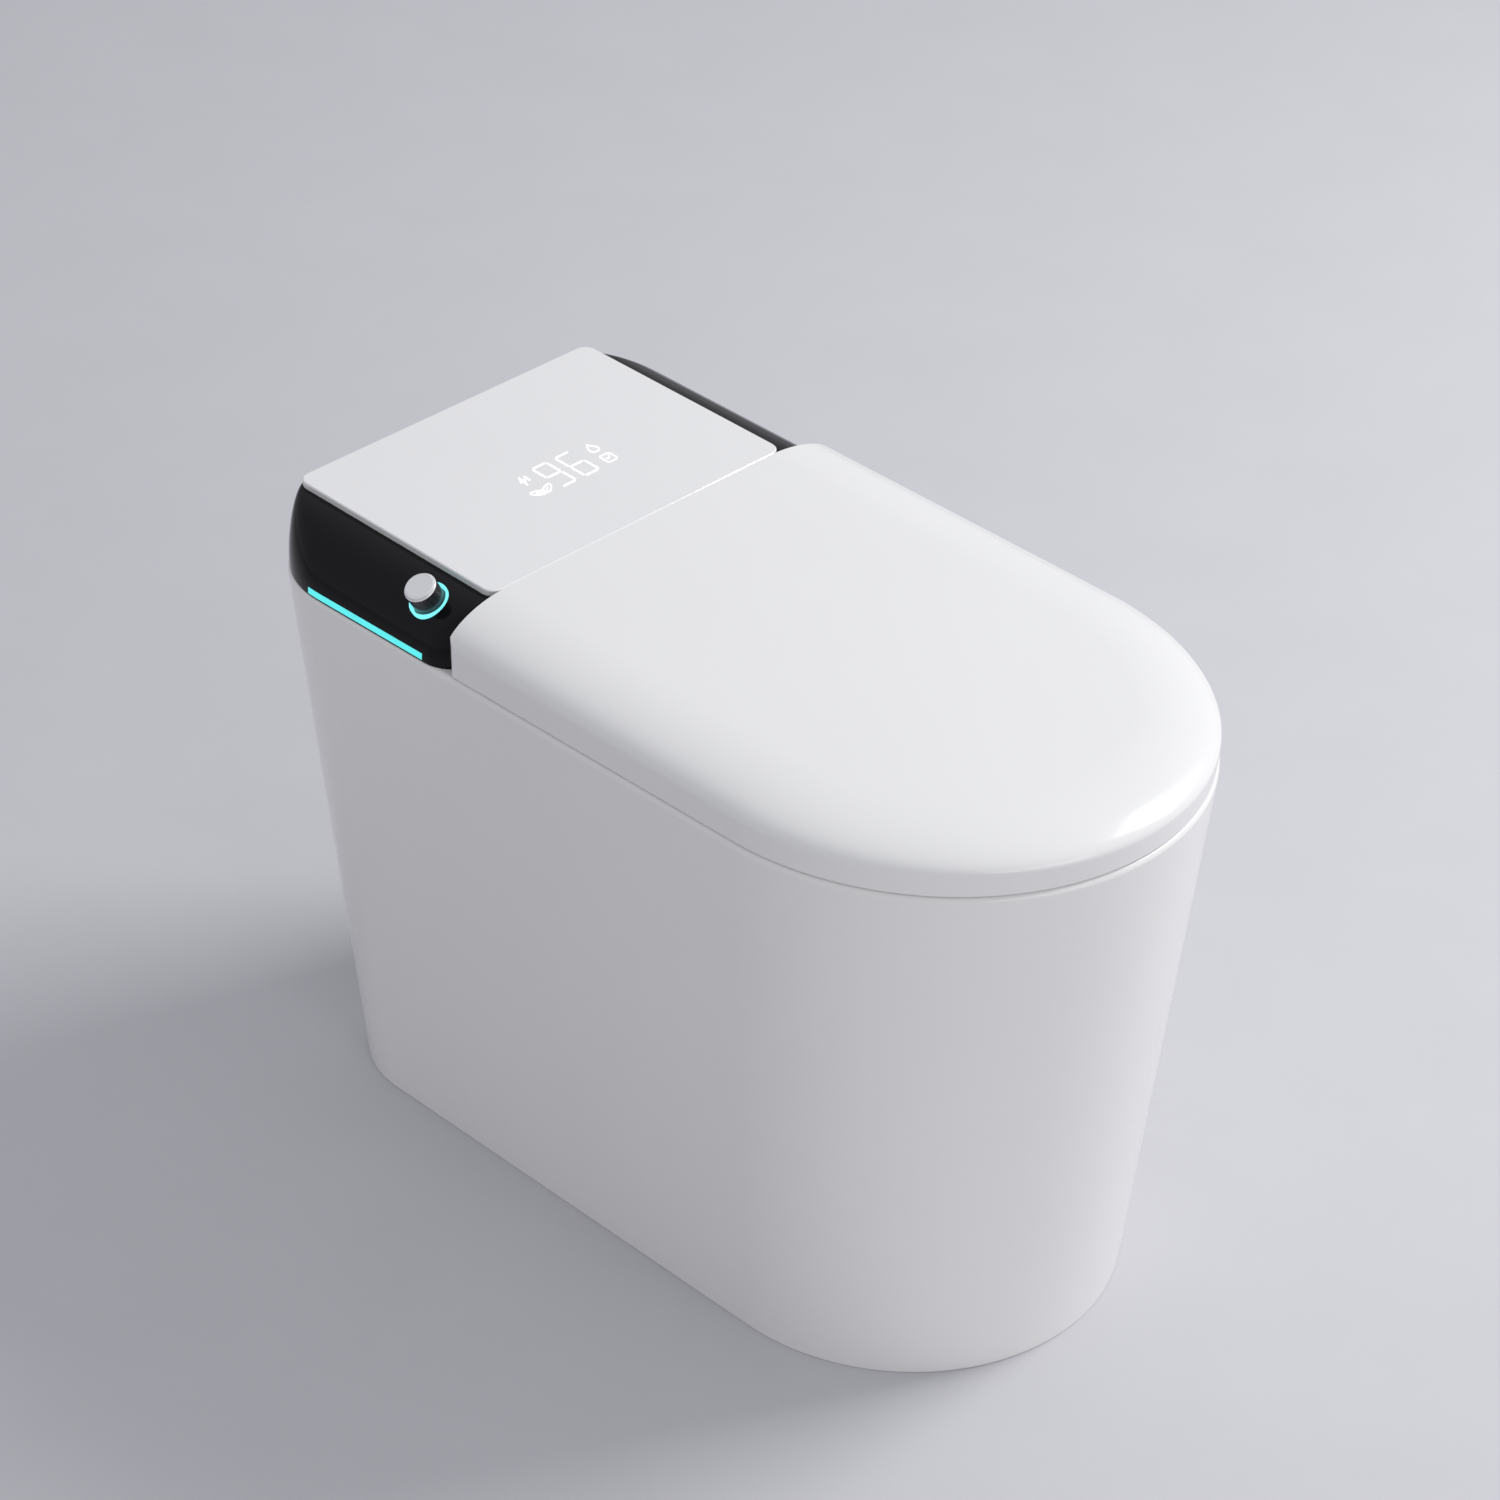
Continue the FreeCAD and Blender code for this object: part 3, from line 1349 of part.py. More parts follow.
def make_dryer():
    piece("dryer_duct", shaped("duct", duct_shape()))
    pin = rod_x("flap_pin", "flap_pin_radius", "duct_left - 2", "duct_right + 2",
                "flap_line", "flap_pin_height")
    plate = box("flap_plate", ("duct_left + 1.5", "duct_right - 1.5"),
                ("flap_line - flap_thickness / 2", "flap_line + flap_thickness / 2"),
                ("duct_bottom + 0.5", "flap_pin_height"))
    piece("dryer_flap", fuse("flap", pin, plate))

    centre = ("fan_place", "fan_line")
    low = ON_CHASSIS
    shell = rod("fan_shell", "fan_radius", "fan_height", (*centre, low))
    room = rod("fan_room", "fan_radius - fan_wall", "fan_height - 2 * fan_wall",
               (*centre, low + " + fan_wall"))
    eye = rod("fan_eye", "fan_inlet", "2 * fan_wall", (*centre, low + " + fan_height - 1.5 * fan_wall"))
    shaft_hole = rod("fan_shaft_hole", "2 * fan_shaft_radius", "2 * fan_wall", (*centre, low + " - 1"))
    x = ("duct_left + 4", "drive_foot - 2")
    y = ("fan_line - fan_radius - 0.7", "fan_line - fan_radius / 2")
    snout = box("fan_snout", x, y, (low, low + " + duct_height - 1.5"))
    wall = "duct_wall"
    mouth = box("fan_mouth", (f"{x[0]} + {wall}", f"{x[1]} - {wall}"), (f"{y[0]} - 1", f"{y[1]} + 1"),
                (f"{low} + fan_wall", f"{low} + duct_height - 3"))
    case = fuse("fan_case", shell, snout)
    piece("dryer_fan_housing", cut("fan_housing", case, room, eye, shaft_hole, mouth))

    motor = rod("motor_can", "motor_radius", "motor_height", (*centre, "rim_height - motor_height"))
    bore = rod("motor_bore", "fan_shaft_radius + running_fit", "motor_height / 2 + 1",
               (*centre, "rim_height - motor_height / 2"))
    piece("dryer_fan_motor", cut("motor", motor, bore))

    wheel = new_body("impeller")
    pad(wheel, circle_sketch(wheel, "disc_plan", "impeller_radius"), "fan_wall / 2")
    pad(wheel, circle_sketch(wheel, "hub_plan", "impeller_radius / 4"), "impeller_height - 2")
    shaft = circle_sketch(wheel, "shaft_plan", "fan_shaft_radius")
    pad(wheel, shaft, "motor_height / 2 + impeller_gap", down=True)
    vane = pad(wheel, blade_sketch(wheel), "impeller_height")
    pattern = wheel.newObject("PartDesign::PolarPattern", "blades")
    pattern.Originals = [vane]
    pattern.Axis = (plane(wheel, "Z_Axis"), [""])
    pattern.Angle = 360
    pattern.setExpression("Occurrences", formula("blade_count"))
    wheel.Tip = pattern
    place(wheel, (*centre, low + " + impeller_gap + fan_wall"))
    piece("dryer_impeller", wheel)


def blade_sketch(body):
    """One radial blade, from near the hub to just inside the disc's edge."""
    sketch = new_sketch(body, "blade_plan")
    points = [VECTOR(6, -1, 0), VECTOR(20, -1, 0), VECTOR(20, 1, 0), VECTOR(6, 1, 0)]
    for index in range(4):
        sketch.addGeometry(Part.LineSegment(points[index], points[(index + 1) % 4]), False)
    for index in range(4):
        sketch.addConstraint(Sketcher.Constraint("Coincident", index, 2, (index + 1) % 4, 1))
    for index, kind in enumerate(("Horizontal", "Vertical", "Horizontal")):
        sketch.addConstraint(Sketcher.Constraint(kind, index))
    sketch.addConstraint(Sketcher.Constraint("Symmetric", 3, 1, 0, 1, -1))
    near = sketch.addConstraint(Sketcher.Constraint("DistanceX", -1, 1, 0, 1, 6.0))
    far = sketch.addConstraint(Sketcher.Constraint("DistanceX", -1, 1, 0, 2, 20.0))
    thick = sketch.addConstraint(Sketcher.Constraint("Distance", 1, 2.0))
    sketch.setExpression(f"Constraints[{near}]", formula("impeller_radius / 5"))
    sketch.setExpression(f"Constraints[{far}]", formula("impeller_radius - 1"))
    sketch.setExpression(f"Constraints[{thick}]", formula("fan_wall / 2"))
    return sketch


# flushing -----------------------------------------------------------------------------


def pipe_shape():
    """From the bottom of the pump down and forward to the jet port."""
    x = size("jet_place")
    top = size("rim_height") - size("pump_height")
    points = [VECTOR(x, size("pump_line"), top), VECTOR(x, size("pump_line"), size("jet_height")),
              VECTOR(x, size("jet_face"), size("jet_height"))]
    bend = size("pipe_bend")
    outer = tube_along(points, size("pipe_radius"), bend)
    return outer.cut(tube_along(points, size("pipe_radius") - size("pipe_wall"), bend))


def make_flush():
    x = ("tank_left", "tank_right")
    y = ("tank_front", "tank_rear")
    z = ("rim_height - tank_height", "rim_height")
    outer = box("tank_case", x, y, z)
    wall = "tank_wall"
    room = [(f"{low} + {wall}", f"{high} - {wall}") for low, high in (x, y, z)]
    inner = box("tank_room", *room)
    piece("flush_tank", cut("tank", outer, inner))
    low = "rim_height - pump_height"
    body = rod("pump_can", "pump_radius", "pump_height - pump_neck",
               ("jet_place", "pump_line", low + " + pump_neck"))
    neck = rod("pump_neck_rod", "pipe_radius + 3", "pump_neck + 1", ("jet_place", "pump_line", low))
    piece("flush_pump", fuse("pump", body, neck))
    piece("pump_pipe", shaped("pipe", pipe_shape()))
    valve = box("valve_case", ("valve_left", "valve_right"), ("valve_front", "valve_rear"),
                ("rim_height - valve_height", "rim_height"))
    piece("inlet_valve", valve)
    centre = ("(valve_left + valve_right) / 2", "(valve_front + valve_rear) / 2")
    low = "rim_height - valve_height - inlet_length"
    spigot = rod("inlet_spigot", "inlet_radius", "inlet_length", (*centre, low))
    bore = rod("inlet_way", "inlet_bore", "inlet_length + 2", (*centre, low + " - 1"))
    piece("water_inlet_fitting", cut("inlet", spigot, bore))


# heater, electronics ------------------------------------------------------------------


def make_electrics():
    heater = new_body("heater")
    sketch = rectangle_sketch(heater, "heater_plan", "heater_width", "heater_depth")
    case = pad(heater, sketch, "heater_height")
    dress(heater, "Fillet", case, "heater_round", is_upright)
    piece("instant_water_heater", place(heater, ("heater_place", "heater_line", ON_CHASSIS)))

    board = new_body("main_board")
    sketch = rectangle_sketch(board, "board_plan", "board_width", "board_depth")
    pad(board, sketch, "board_thickness + 0.4")
    feet = new_sketch(board, "feet_plan")
    for index, (right, back) in enumerate(((-1, -1), (1, -1), (1, 1), (-1, 1))):
        feet.addGeometry(Part.Circle(VECTOR(right * 40, back * 15, 0), VECTOR(0, 0, 1), 3.0), False)
        radius = feet.addConstraint(Sketcher.Constraint("Radius", index, 3.0))
        x = feet.addConstraint(Sketcher.Constraint("DistanceX", -1, 1, index, 3, right * 40.0))
        y = feet.addConstraint(Sketcher.Constraint("DistanceY", -1, 1, index, 3, back * 15.0))
        feet.setExpression(f"Constraints[{radius}]", formula("bolt_radius"))
        feet.setExpression(f"Constraints[{x}]", formula(f"{right} * (board_width / 2 - 6)"))
        feet.setExpression(f"Constraints[{y}]", formula(f"{back} * (board_depth / 2 - 6)"))
    pad(board, feet, "board_stand", down=True)
    chips = rectangle_sketch(board, "chip_plan", "board_width / 3", "board_depth / 2")
    pad(board, chips, "board_thickness + 4")
    piece("main_board", place(board, ("board_place", "board_line", ON_CHASSIS + " + board_stand")))

    supply = new_body("supply")
    sketch = rectangle_sketch(supply, "supply_plan", "supply_width", "supply_depth")
    case = pad(supply, sketch, "supply_height")
    dress(supply, "Chamfer", case, "heater_round / 2", is_upright)
    piece("power_supply", place(supply, ("supply_place", "supply_line", ON_CHASSIS)))

    cartridge = new_body("cartridge")
    sketch = rectangle_sketch(cartridge, "cartridge_plan", "cartridge_width", "cartridge_depth")
    case = pad(cartridge, sketch, "cartridge_height")
    dress(cartridge, "Fillet", case, "heater_round", is_upright)
    piece("deodoriser_cartridge", place(cartridge, ("cartridge_place", "cartridge_line", ON_CHASSIS)))

    at = ("(valve_left + valve_right) / 2", "fan_line", "rim_height - gland_length")
    gland = rod("gland_body", "gland_radius", "gland_length", at)
    bore = rod("gland_way", "gland_bore", "gland_length / 2", at)
    piece("cord_gland", cut("gland", gland, bore))


# write the pieces ---------------------------------------------------------------------


def check():
    """Stop before writing if any object failed or any piece isn't a sound solid."""
    for item in doc.Objects:
        if "Invalid" in item.State or "Error" in item.State:
            raise RuntimeError(f"{item.Label} failed: {item.State}")
    for label, item in pieces.items():
        if item.Shape.isNull() or not item.Shape.isValid() or not item.Shape.Solids:
            raise RuntimeError(f"{label} isn't a sound solid")


def write():
    os.makedirs("parts", exist_ok=True)
    for label, item in pieces.items():
        item.Shape.exportStep(f"parts/{label}.step")


def build():
    make_ceramic()
    make_housing()
    make_panel()
    make_display()
    make_knob()
    make_lid()
    make_seat()
    make_arms()
    make_hinge_supports()
    make_chassis()
    make_nozzles()
    make_dryer()
    make_flush()
    make_electrics()
    doc.recompute()
    check()
    write()
    print(len(pieces), "pieces written")


build()
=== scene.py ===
import json
import math

import bmesh
import bpy
from mathutils import Matrix, Vector


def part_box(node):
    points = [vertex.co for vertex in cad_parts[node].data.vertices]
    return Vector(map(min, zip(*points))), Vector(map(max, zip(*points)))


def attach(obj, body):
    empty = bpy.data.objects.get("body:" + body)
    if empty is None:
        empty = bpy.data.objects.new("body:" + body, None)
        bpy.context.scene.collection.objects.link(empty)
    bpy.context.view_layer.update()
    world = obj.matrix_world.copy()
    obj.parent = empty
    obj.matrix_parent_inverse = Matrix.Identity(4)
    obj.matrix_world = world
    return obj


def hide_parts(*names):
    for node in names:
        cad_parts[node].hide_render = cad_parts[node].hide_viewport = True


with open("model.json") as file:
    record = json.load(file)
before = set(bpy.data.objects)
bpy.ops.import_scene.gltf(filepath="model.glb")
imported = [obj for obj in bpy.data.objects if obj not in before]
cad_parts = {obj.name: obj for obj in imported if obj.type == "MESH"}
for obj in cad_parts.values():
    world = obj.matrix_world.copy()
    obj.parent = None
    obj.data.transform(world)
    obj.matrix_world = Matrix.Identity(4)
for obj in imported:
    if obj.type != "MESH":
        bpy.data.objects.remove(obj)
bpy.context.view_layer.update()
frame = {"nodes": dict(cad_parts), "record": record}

# Lengths are in millimetres until a piece is made, where METRE turns them into Blender's metres.
METRE = 0.001


def span(node):
    """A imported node's lowest and highest corners, in millimetres."""
    low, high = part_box(node)
    return low / METRE, high / METRE


# driving sizes, read from the frame ---------------------------------------------------

DECK_LOW, DECK_HIGH = span("ceramic_deck")
LID_LOW = span("lid_shell")[0]
PANEL_LOW = span("glass_top_panel")[0]
SEAT_LOW, SEAT_HIGH = span("seat_top_shell")
PAN_LOW, PAN_HIGH = span("seat_base_pan")
BAR_LOW, BAR_HIGH = span("light_bar")
LINER_LOW, LINER_HIGH = span("lid_liner")

# sizes of the whole -------------------------------------------------------------------

RIM = DECK_HIGH.z
NOSE_START = -150.1
SEAM_HALF = 0.35
SEAM = PANEL_LOW.y - SEAM_HALF
TOP = 486.7
SLOPE = 0.025
# what cuts a piece reaches past it by this much, or is as wide as this
PAST = 5.0
WIDE = 500.0

# china --------------------------------------------------------------------------------

RIM_HALF = 186.8
RIM_NOSE = 199.9
RIM_REAR = 350.0
RIM_CORNER = 85.0
RIM_STRAIGHT = RIM - 4.0
BASE_HALF = 156.4
BASE_NOSE = 161.2
BASE_START = -136.0
BASE_REAR = 327.2
BASE_CORNER = 81.0
FOOT_ROUND = 1.2
WALL_STEPS = 24
CHINA_WALL = 11.0
RIM_STEPS = 8
DECK = 16.0

BOWL_HALF = 129.0
BOWL_LENGTH = 165.0
BOWL_MIDDLE = -115.0
BOWL_FLOOR = 205.0
BOWL_WALL = 10.0
BOWL_STEPS = 128
BOWL_RINGS = 32
BOWL_UNDER_RIM = 2.0
# height, width and length as shares of the bowl's, and how far its middle moves back
BOWL_SHAPE = (
    (1.0, 1.0, 1.0, 0.0),
    (0.74, 0.96, 0.96, 3.0),
    (0.49, 0.82, 0.82, 15.0),
    (0.23, 0.58, 0.61, 35.0),
    (0.0, 0.33, 0.34, 55.0),
)
DRAIN_LINE = 45.0
DRAIN_RADIUS = 26.0
TRAP_WALL = 9.0
TRAP_BEND = 38.0
BEND_STEPS = 12
TUBE_STEPS = 64
TRAP_PATH = ((-62.0, 212.0), (-30.0, 130.0), (95.0, 215.0), (85.0, 110.0), (45.0, 50.0), (45.0, 12.0))
JET_PORT = Vector((45.0, 24.0, 230.0))
JET_WALL_RADIUS = 13.0
JET_WALL_LENGTH = 44.0
JET_RADIUS = 8.0
JET_LENGTH = 84.0
CHANNEL_X = (-34.0, 84.0)
CHANNEL_FRONT = 25.0
CHANNEL_FLOOR = 410.0
BAY_HALF = 140.0
BAY_FRONT = 127.0
BAY_REAR = 310.0
BAY_CORNER = 15.0
BOLT_PLACE = 158.0
BOLT_LINES = (196.0, 262.0)
BOLT_HOLE = 3.3
BOLT_STEPS = 32
SERVICE_HALF = 60.0
SERVICE_BOTTOM = 30.0
SERVICE_TOP = 120.0
SERVICE_DEPTH = 56.0
ARCH_STEPS = 48

# lid ----------------------------------------------------------------------------------

LID_HALF = 186.4
LID_NOSE = 199.4
LID_FLARE = 2.2
LID_WALL = 3.5
LID_PAST_SEAM = 30.0
LID_NOSE_LIMIT = 400.0
LID_CORNER = 12.0
LID_EDGE_ROUND = 0.9
LID_REAR_WALL = 5.0
LID_INSIDE_DROP = 3.0
LID_FOOT_DROP = 12.0
LID_SIDE_LEVELS = (6.0, 11.0)
CROWN_WIDTH = 60.0
CROWN_STEPS = 24
CROWN_REAR = 21.5
CROWN_FRONT = 17.3
HINGE_ROOM_STEPS = 256
ARM_GAP_HALF = 122.0
ARM_GAP_UNDER_TOP = 5.4
RELIEF_HALF = 176.0
RELIEF_TOP = 450.0
LINER_CORNER = 8.0
LINER_GAP = 0.02
# how far each ring of the liner is drawn in, and its height under the shell
LINER_SECTION = ((0.0, 0.0), (0.0, -1.4), (0.25, -1.85), (0.8, -2.0), (6.0, -2.0), (7.2, -1.5), (8.4, -1.2))

# panel and housing --------------------------------------------------------------------

PANEL_CORNER = 10.0
PANEL_CHAMFER = 0.8
PANEL_THICKNESS = 5.0
PANEL_DEPTH = 208.0
# how far each ring of the glass is drawn in, and its height against the top
PANEL_SECTION = (
    (0.4, -PANEL_THICKNESS),
    (0.1, -4.9),
    (0.0, -4.6),
    (0.0, -PANEL_CHAMFER - 0.15),
    (0.05, -PANEL_CHAMFER + 0.02),
    (PANEL_CHAMFER - 0.05, -0.05),
    (PANEL_CHAMFER + 0.1, 0.0),
)
# the lean of the faces on the glass's chamfer, which take the painted highlight colour
PAINTED_HIGHLIGHT_LOW = 0.2
PAINTED_HIGHLIGHT_HIGH = 0.99

HOUSING_WALL = 3.0
HOUSING_STEPS = 28
# the rim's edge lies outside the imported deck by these, and the housing's foot inside the rim's edge
RIM_EDGE_SIDE = 0.3
RIM_EDGE_REAR = 0.36
HOUSING_SET_IN = 1.5
HOUSING_FRONT_ROUND = 28.0
HOUSING_TOP_ROUND = 7.0
HOUSING_REAR_ROUND = 83.5
HOUSING_FRONT = 122.0
HOUSING_FACE = SEAM + 0.65
HOUSING_LOW_FACE = 7.0
GLASS_BED = 0.05
CUT_TOP = 200.0
BAR_ROOM_SIDE = -140.0
ARM_SLOTS = (86.0, 102.0)
ARM_SLOT_WIDTH = 16.0
ARM_SLOT_REAR = 172.0
ARM_SLOT_HEIGHT = 60.0

# seat ---------------------------------------------------------------------------------

SEAT_CORNER = 30.0
SEAT_ROUND = 7.0
SEAT_DISH = 0.9
SEAT_STEPS = 12
TOP_ROUND_STEPS = 8
BOTTOM_ROUND_STEPS = 4
PAN_ROUND = 2.0
ARM_BEDS = ((87.7, 100.3), (-100.3, -87.7))
ARM_BED_LINE = (74.95, 300.0)
ARM_BED_DEPTH = 6.5
HOLE_HALF = 104.0
HOLE_LENGTH = 144.0
HOLE_MIDDLE = -112.0

# hinge and bumpers --------------------------------------------------------------------

HINGE = Vector((0.0, 160.25, 471.7))
FOOT_RADIUS = 9.0
FOOT_STEPS = 64
# radius and height of each rounded ring of a bumper
FOOT_SECTION = ((6.2, 0.0), (7.6, 0.25), (8.6, 0.9), (FOOT_RADIUS, 1.9))
LID_FOOT_BED = 2.3

# knob ---------------------------------------------------------------------------------

KNOB_LEAN = math.radians(29.0)
KNOB_BASE = Vector((-165.0, 167.0, 475.87))
KNOB_STEPS = 128
KNOB_RADIUS = 11.8
KNOB_HEIGHT = 13.8
KNOB_FOOT = 1.3
KNOB_BORE = 3.0
KNOB_BORE_LOW = -6.2
GROOVES = 8
GROOVE_DEPTH = 0.05
GROOVE_HALF = 0.10
BRIGHT_RIM = 1.1
STEM_BORE = 2.05
STEM_BORE_DEPTH = 13.0
CAP_BED = 2.4
CAP_RADIUS = 10.75
CAP_SLACK = 0.1
CAP_PROUD = 1.2
CAP_THICKNESS = 2.3
STEM_RADIUS = 2.0
STEM_LOW = 5.5
RING_HOLE = 14.6
RING_HOLE_REACH = 10.0
# radius and height of each corner of the light ring's section
RING_SECTION = (
    (12.5, -3.0),
    (RING_HOLE, -3.0),
    (RING_HOLE, 0.1),
    (14.25, 0.25),
    (14.1, 0.75),
    (13.9, 0.9),
    (13.3, 0.9),
    (13.1, 0.75),
)

# display ------------------------------------------------------------------------------

DIGIT_WIDTH = 13.7
DIGIT_HEIGHT = 32.2
DIGIT_STROKE = 1.1
DIGIT_GAP = 1.7
DIGIT_PITCH = 22.2
DIGITS_PLACE = (6.9, 214.4)
FLASH_PLACE = (-26.0, 222.5)
LEAF_PLACE = (-24.5, 201.0)
DROP_PLACE = (40.3, 222.5)
TICK_PLACE = (40.3, 205.0)
PRINT_THICKNESS = 0.3
FLASH = ((0.6, 6.4), (-3.6, -0.9), (-0.9, -0.7), (-2.2, -6.4), (2.6, 1.3), (0.2, 1.0))
HEAT_LINES = (-1.6, 1.6)
HEAT_SIDE = 4.2
HEAT_RISE = 1.4
# half width, low and high end, and corner
HEAT_STROKE = (0.45, -1.9, 1.9, 0.4)
FRAME_OUTER = (5.0, -5.6, 5.6, 2.8)
FRAME_INNER = (4.3, -4.9, 4.9, 2.1)
LEAF_TURNS = (35, 150)
LEAF_MIDDLE = 5.6
LEAF_POINT = 0.25
LEAF_STEPS = 48
# half length and half width
LEAF_OUTER = (6.0, 3.1)
LEAF_INNER = (5.3, 2.4)
VEIN = ((0.4, -0.25), (7.0, -0.2), (7.0, 0.2), (0.4, 0.25))
# radius of the round part, and height of the tip
DROP_OUTER = (4.2, 6.4)
DROP_INNER = (3.5, 5.1)
DROP_MIDDLE = -1.8
DROP_STEPS = 32
DROP_START = math.radians(25)
DROP_TURN = math.radians(230)
TICK = ((-2.3, 0.3), (-0.6, -1.8), (2.6, 2.4), (2.1, 2.8), (-0.5, -0.9), (-1.8, 0.8))

# steps of the outlines ----------------------------------------------------------------

NOSE_STEPS = 96
SIDE_STEPS = 12
CORNER_STEPS = 16
REAR_STEPS = 12


# meshes -------------------------------------------------------------------------------


def add_ring(mesh, points):
    return [mesh.verts.new(point * METRE) for point in points]


def bridge(mesh, lower, upper):
    """A band of quads between two rings of the same count."""
    count = len(lower)
    for index in range(count):
        after = (index + 1) % count
        mesh.faces.new((lower[index], lower[after], upper[after], upper[index]))


def loft(name, rings, loop=False):
    """A closed solid through rings of points: capped at its ends, or joined into a loop."""
    mesh = bmesh.new()
    made = [add_ring(mesh, ring) for ring in rings]
    for lower, upper in zip(made, made[1:]):
        bridge(mesh, lower, upper)
    if loop:
        bridge(mesh, made[-1], made[0])
    else:
        mesh.faces.new(list(reversed(made[0])))
        mesh.faces.new(made[-1])
    return to_object(name, mesh)


def to_object(name, mesh):
    bmesh.ops.recalc_face_normals(mesh, faces=mesh.faces)
    data = bpy.data.meshes.new(name)
    mesh.to_mesh(data)
    mesh.free()
    made = bpy.data.objects.new(name, data)
    bpy.context.scene.collection.objects.link(made)
    return made


def block(name, x, y, z):
    corners = [(x[0], y[0]), (x[1], y[0]), (x[1], y[1]), (x[0], y[1])]
    return loft(name, [[Vector((a, b, level)) for a, b in corners] for level in z])


def circle(radius, z, steps):
    turn = 2 * math.pi / steps
    return [Vector((radius * math.cos(turn * k), radius * math.sin(turn * k), z)) for k in range(steps)]


def lathe(name, profile, steps, loop=False):
    """A solid turned about Z from (radius, height) pairs; a looped section makes a ring."""
    return loft(name, [circle(radius, z, steps) for radius, z in profile], loop)


def rod_along(name, radius, start, end, steps=48):
    """A cylinder between two points."""
    axis = (end - start).normalized()
    turn = axis.to_track_quat("Z", "Y").to_matrix()
    rings = []
    for place in (start, end):
        rings.append([place + turn @ point for point in circle(radius, 0.0, steps)])
    return loft(name, rings)


def evaluated_mesh(item):
    graph = bpy.context.evaluated_depsgraph_get()
    return bpy.data.meshes.new_from_object(item.evaluated_get(graph))


def carve(base, tools, operation="DIFFERENCE"):
    """Apply solids to a base one after another, and use them up."""
    for tool in tools:
        step = base.modifiers.new("carve", "BOOLEAN")
        step.operation = operation
        step.object = tool
        step.solver = "EXACT"
    result = evaluated_mesh(base)
    base.modifiers.clear()
    base.data = result
    for tool in tools:
        bpy.data.objects.remove(tool)
    return base


def copy_of(item, name):
    made = bpy.data.objects.new(name, item.data.copy())
    bpy.context.scene.collection.objects.link(made)
    return made


def turn_piece(item, matrix):
    """Move a piece's mesh; the matrix is in millimetres."""
    moved = Matrix.Scale(METRE, 4) @ matrix @ Matrix.Scale(1 / METRE, 4)
    item.data.transform(moved)
    return item


def dress(item, body, material, stands_for=(), sharp=32.0, bevel=0.0):
    """Finish a piece: shading, small rounded edges, material, and what it rides on."""
    data = item.data
    data.materials.clear()
    data.materials.append(material)
    soften(item, sharp, bevel)
    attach(item, body)
    if stands_for:
        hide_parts(*stands_for)
    return item


def soften(item, sharp, bevel):
    """Smooth shading between real edges, which get a small rounding."""
    data = item.data
    data.shade_smooth()
    data.set_sharp_from_angle(angle=math.radians(sharp))
    if bevel > 0:
        edge = item.modifiers.new("edges", "BEVEL")
        edge.width = bevel * METRE
        edge.segments = 2
        edge.limit_method = "ANGLE"
        edge.angle_limit = math.radians(sharp)
        edge.use_clamp_overlap = True
    weigh = item.modifiers.new("normals", "WEIGHTED_NORMAL")
    weigh.keep_sharp = True
    weigh.weight = 80


# outlines -----------------------------------------------------------------------------


def corner_points(middle, radius, start, z):
    points = []
    for step in range(CORNER_STEPS + 1):
        angle = start + 0.5 * math.pi * step / CORNER_STEPS
        x = middle[0] + radius * math.cos(angle)
        y = middle[1] + radius * math.sin(angle)
        points.append(Vector((x, y, z)))
    return points


def between(first, last, steps):
    """Points strictly between two points."""
    return [first.lerp(last, step / steps) for step in range(1, steps)]


def plan(half, nose, start, rear, corner=0.05, z=0.0):
    """Elliptic nose, straight sides and rounded rear corners, counter-clockwise from the left."""
    points = []
    for step in range(NOSE_STEPS + 1):
        angle = math.pi * (1 + step / NOSE_STEPS)
        points.append(Vector((half * math.cos(angle), start + nose * math.sin(angle), z)))
    right = corner_points((half - corner, rear - corner), corner, 0.0, z)
    left = corner_points((corner - half, rear - corner), corner, 0.5 * math.pi, z)
    points += between(points[-1], right[0], SIDE_STEPS)
    points += right + between(right[-1], left[0], REAR_STEPS) + left
    return points + between(left[-1], points[0], SIDE_STEPS)


def box_plan(half, front, rear, front_corner, rear_corner, z=0.0):
    """A rectangle with rounded corners, counter-clockwise from the front left."""
    corners = (corner_points((front_corner - half, front + front_corner), front_corner, math.pi, z),
               corner_points((half - front_corner, front + front_corner), front_corner, 1.5 * math.pi, z),
               corner_points((half - rear_corner, rear - rear_corner), rear_corner, 0.0, z),
               corner_points((rear_corner - half, rear - rear_corner), rear_corner, 0.5 * math.pi, z))
    points = []
    for index, corner in enumerate(corners):
        points += corner + between(corner[-1], corners[(index + 1) % 4][0], SIDE_STEPS)
    return points


def tipped(points, height, slope):
    """Lay an outline on a plane that passes the seam at a height."""
    angle = math.atan(slope)
    made = []
    for point in points:
        back = point.y - SEAM
        y = SEAM + back * math.cos(angle)
        z = height + point.z + back * math.sin(angle)
        made.append(Vector((point.x, y, z)))
    return made


def mix(low, high, share):
    return low + (high - low) * share


def quarter(steps):
    return [0.5 * math.pi * step / steps for step in range(steps + 1)]


def panel_height(y):
    """The height of the panel's top plane."""
    return TOP + SLOPE * (y - SEAM)


def on_panel(x, y):
    """The place and lean of what lies on the panel at a spot."""
    return Matrix.Translation((x, y, panel_height(y))) @ Matrix.Rotation(math.atan(SLOPE), 4, "X")


# materials ----------------------------------------------------------------------------

RAMP_PLACES = (0.3, 0.7)
COAT_ROUGHNESS = 0.06
CLOUD_DETAIL = 3.0
GRAIN_DETAIL = 6.0
ROUGHNESS_SPREAD = 0.15
GLOW_BODY = (0.02, 0.02, 0.02)
GLOW_ROUGHNESS = 0.35
GLOW_CLOUD = 60.0
GLOW_DETAIL = 2.0
GLOW_LOW = 0.96


def new_material(name):
    material = bpy.data.materials.new(name)
    material.use_nodes = True
    nodes = material.node_tree.nodes
    links = material.node_tree.links
    return material, nodes, links, nodes["Principled BSDF"]


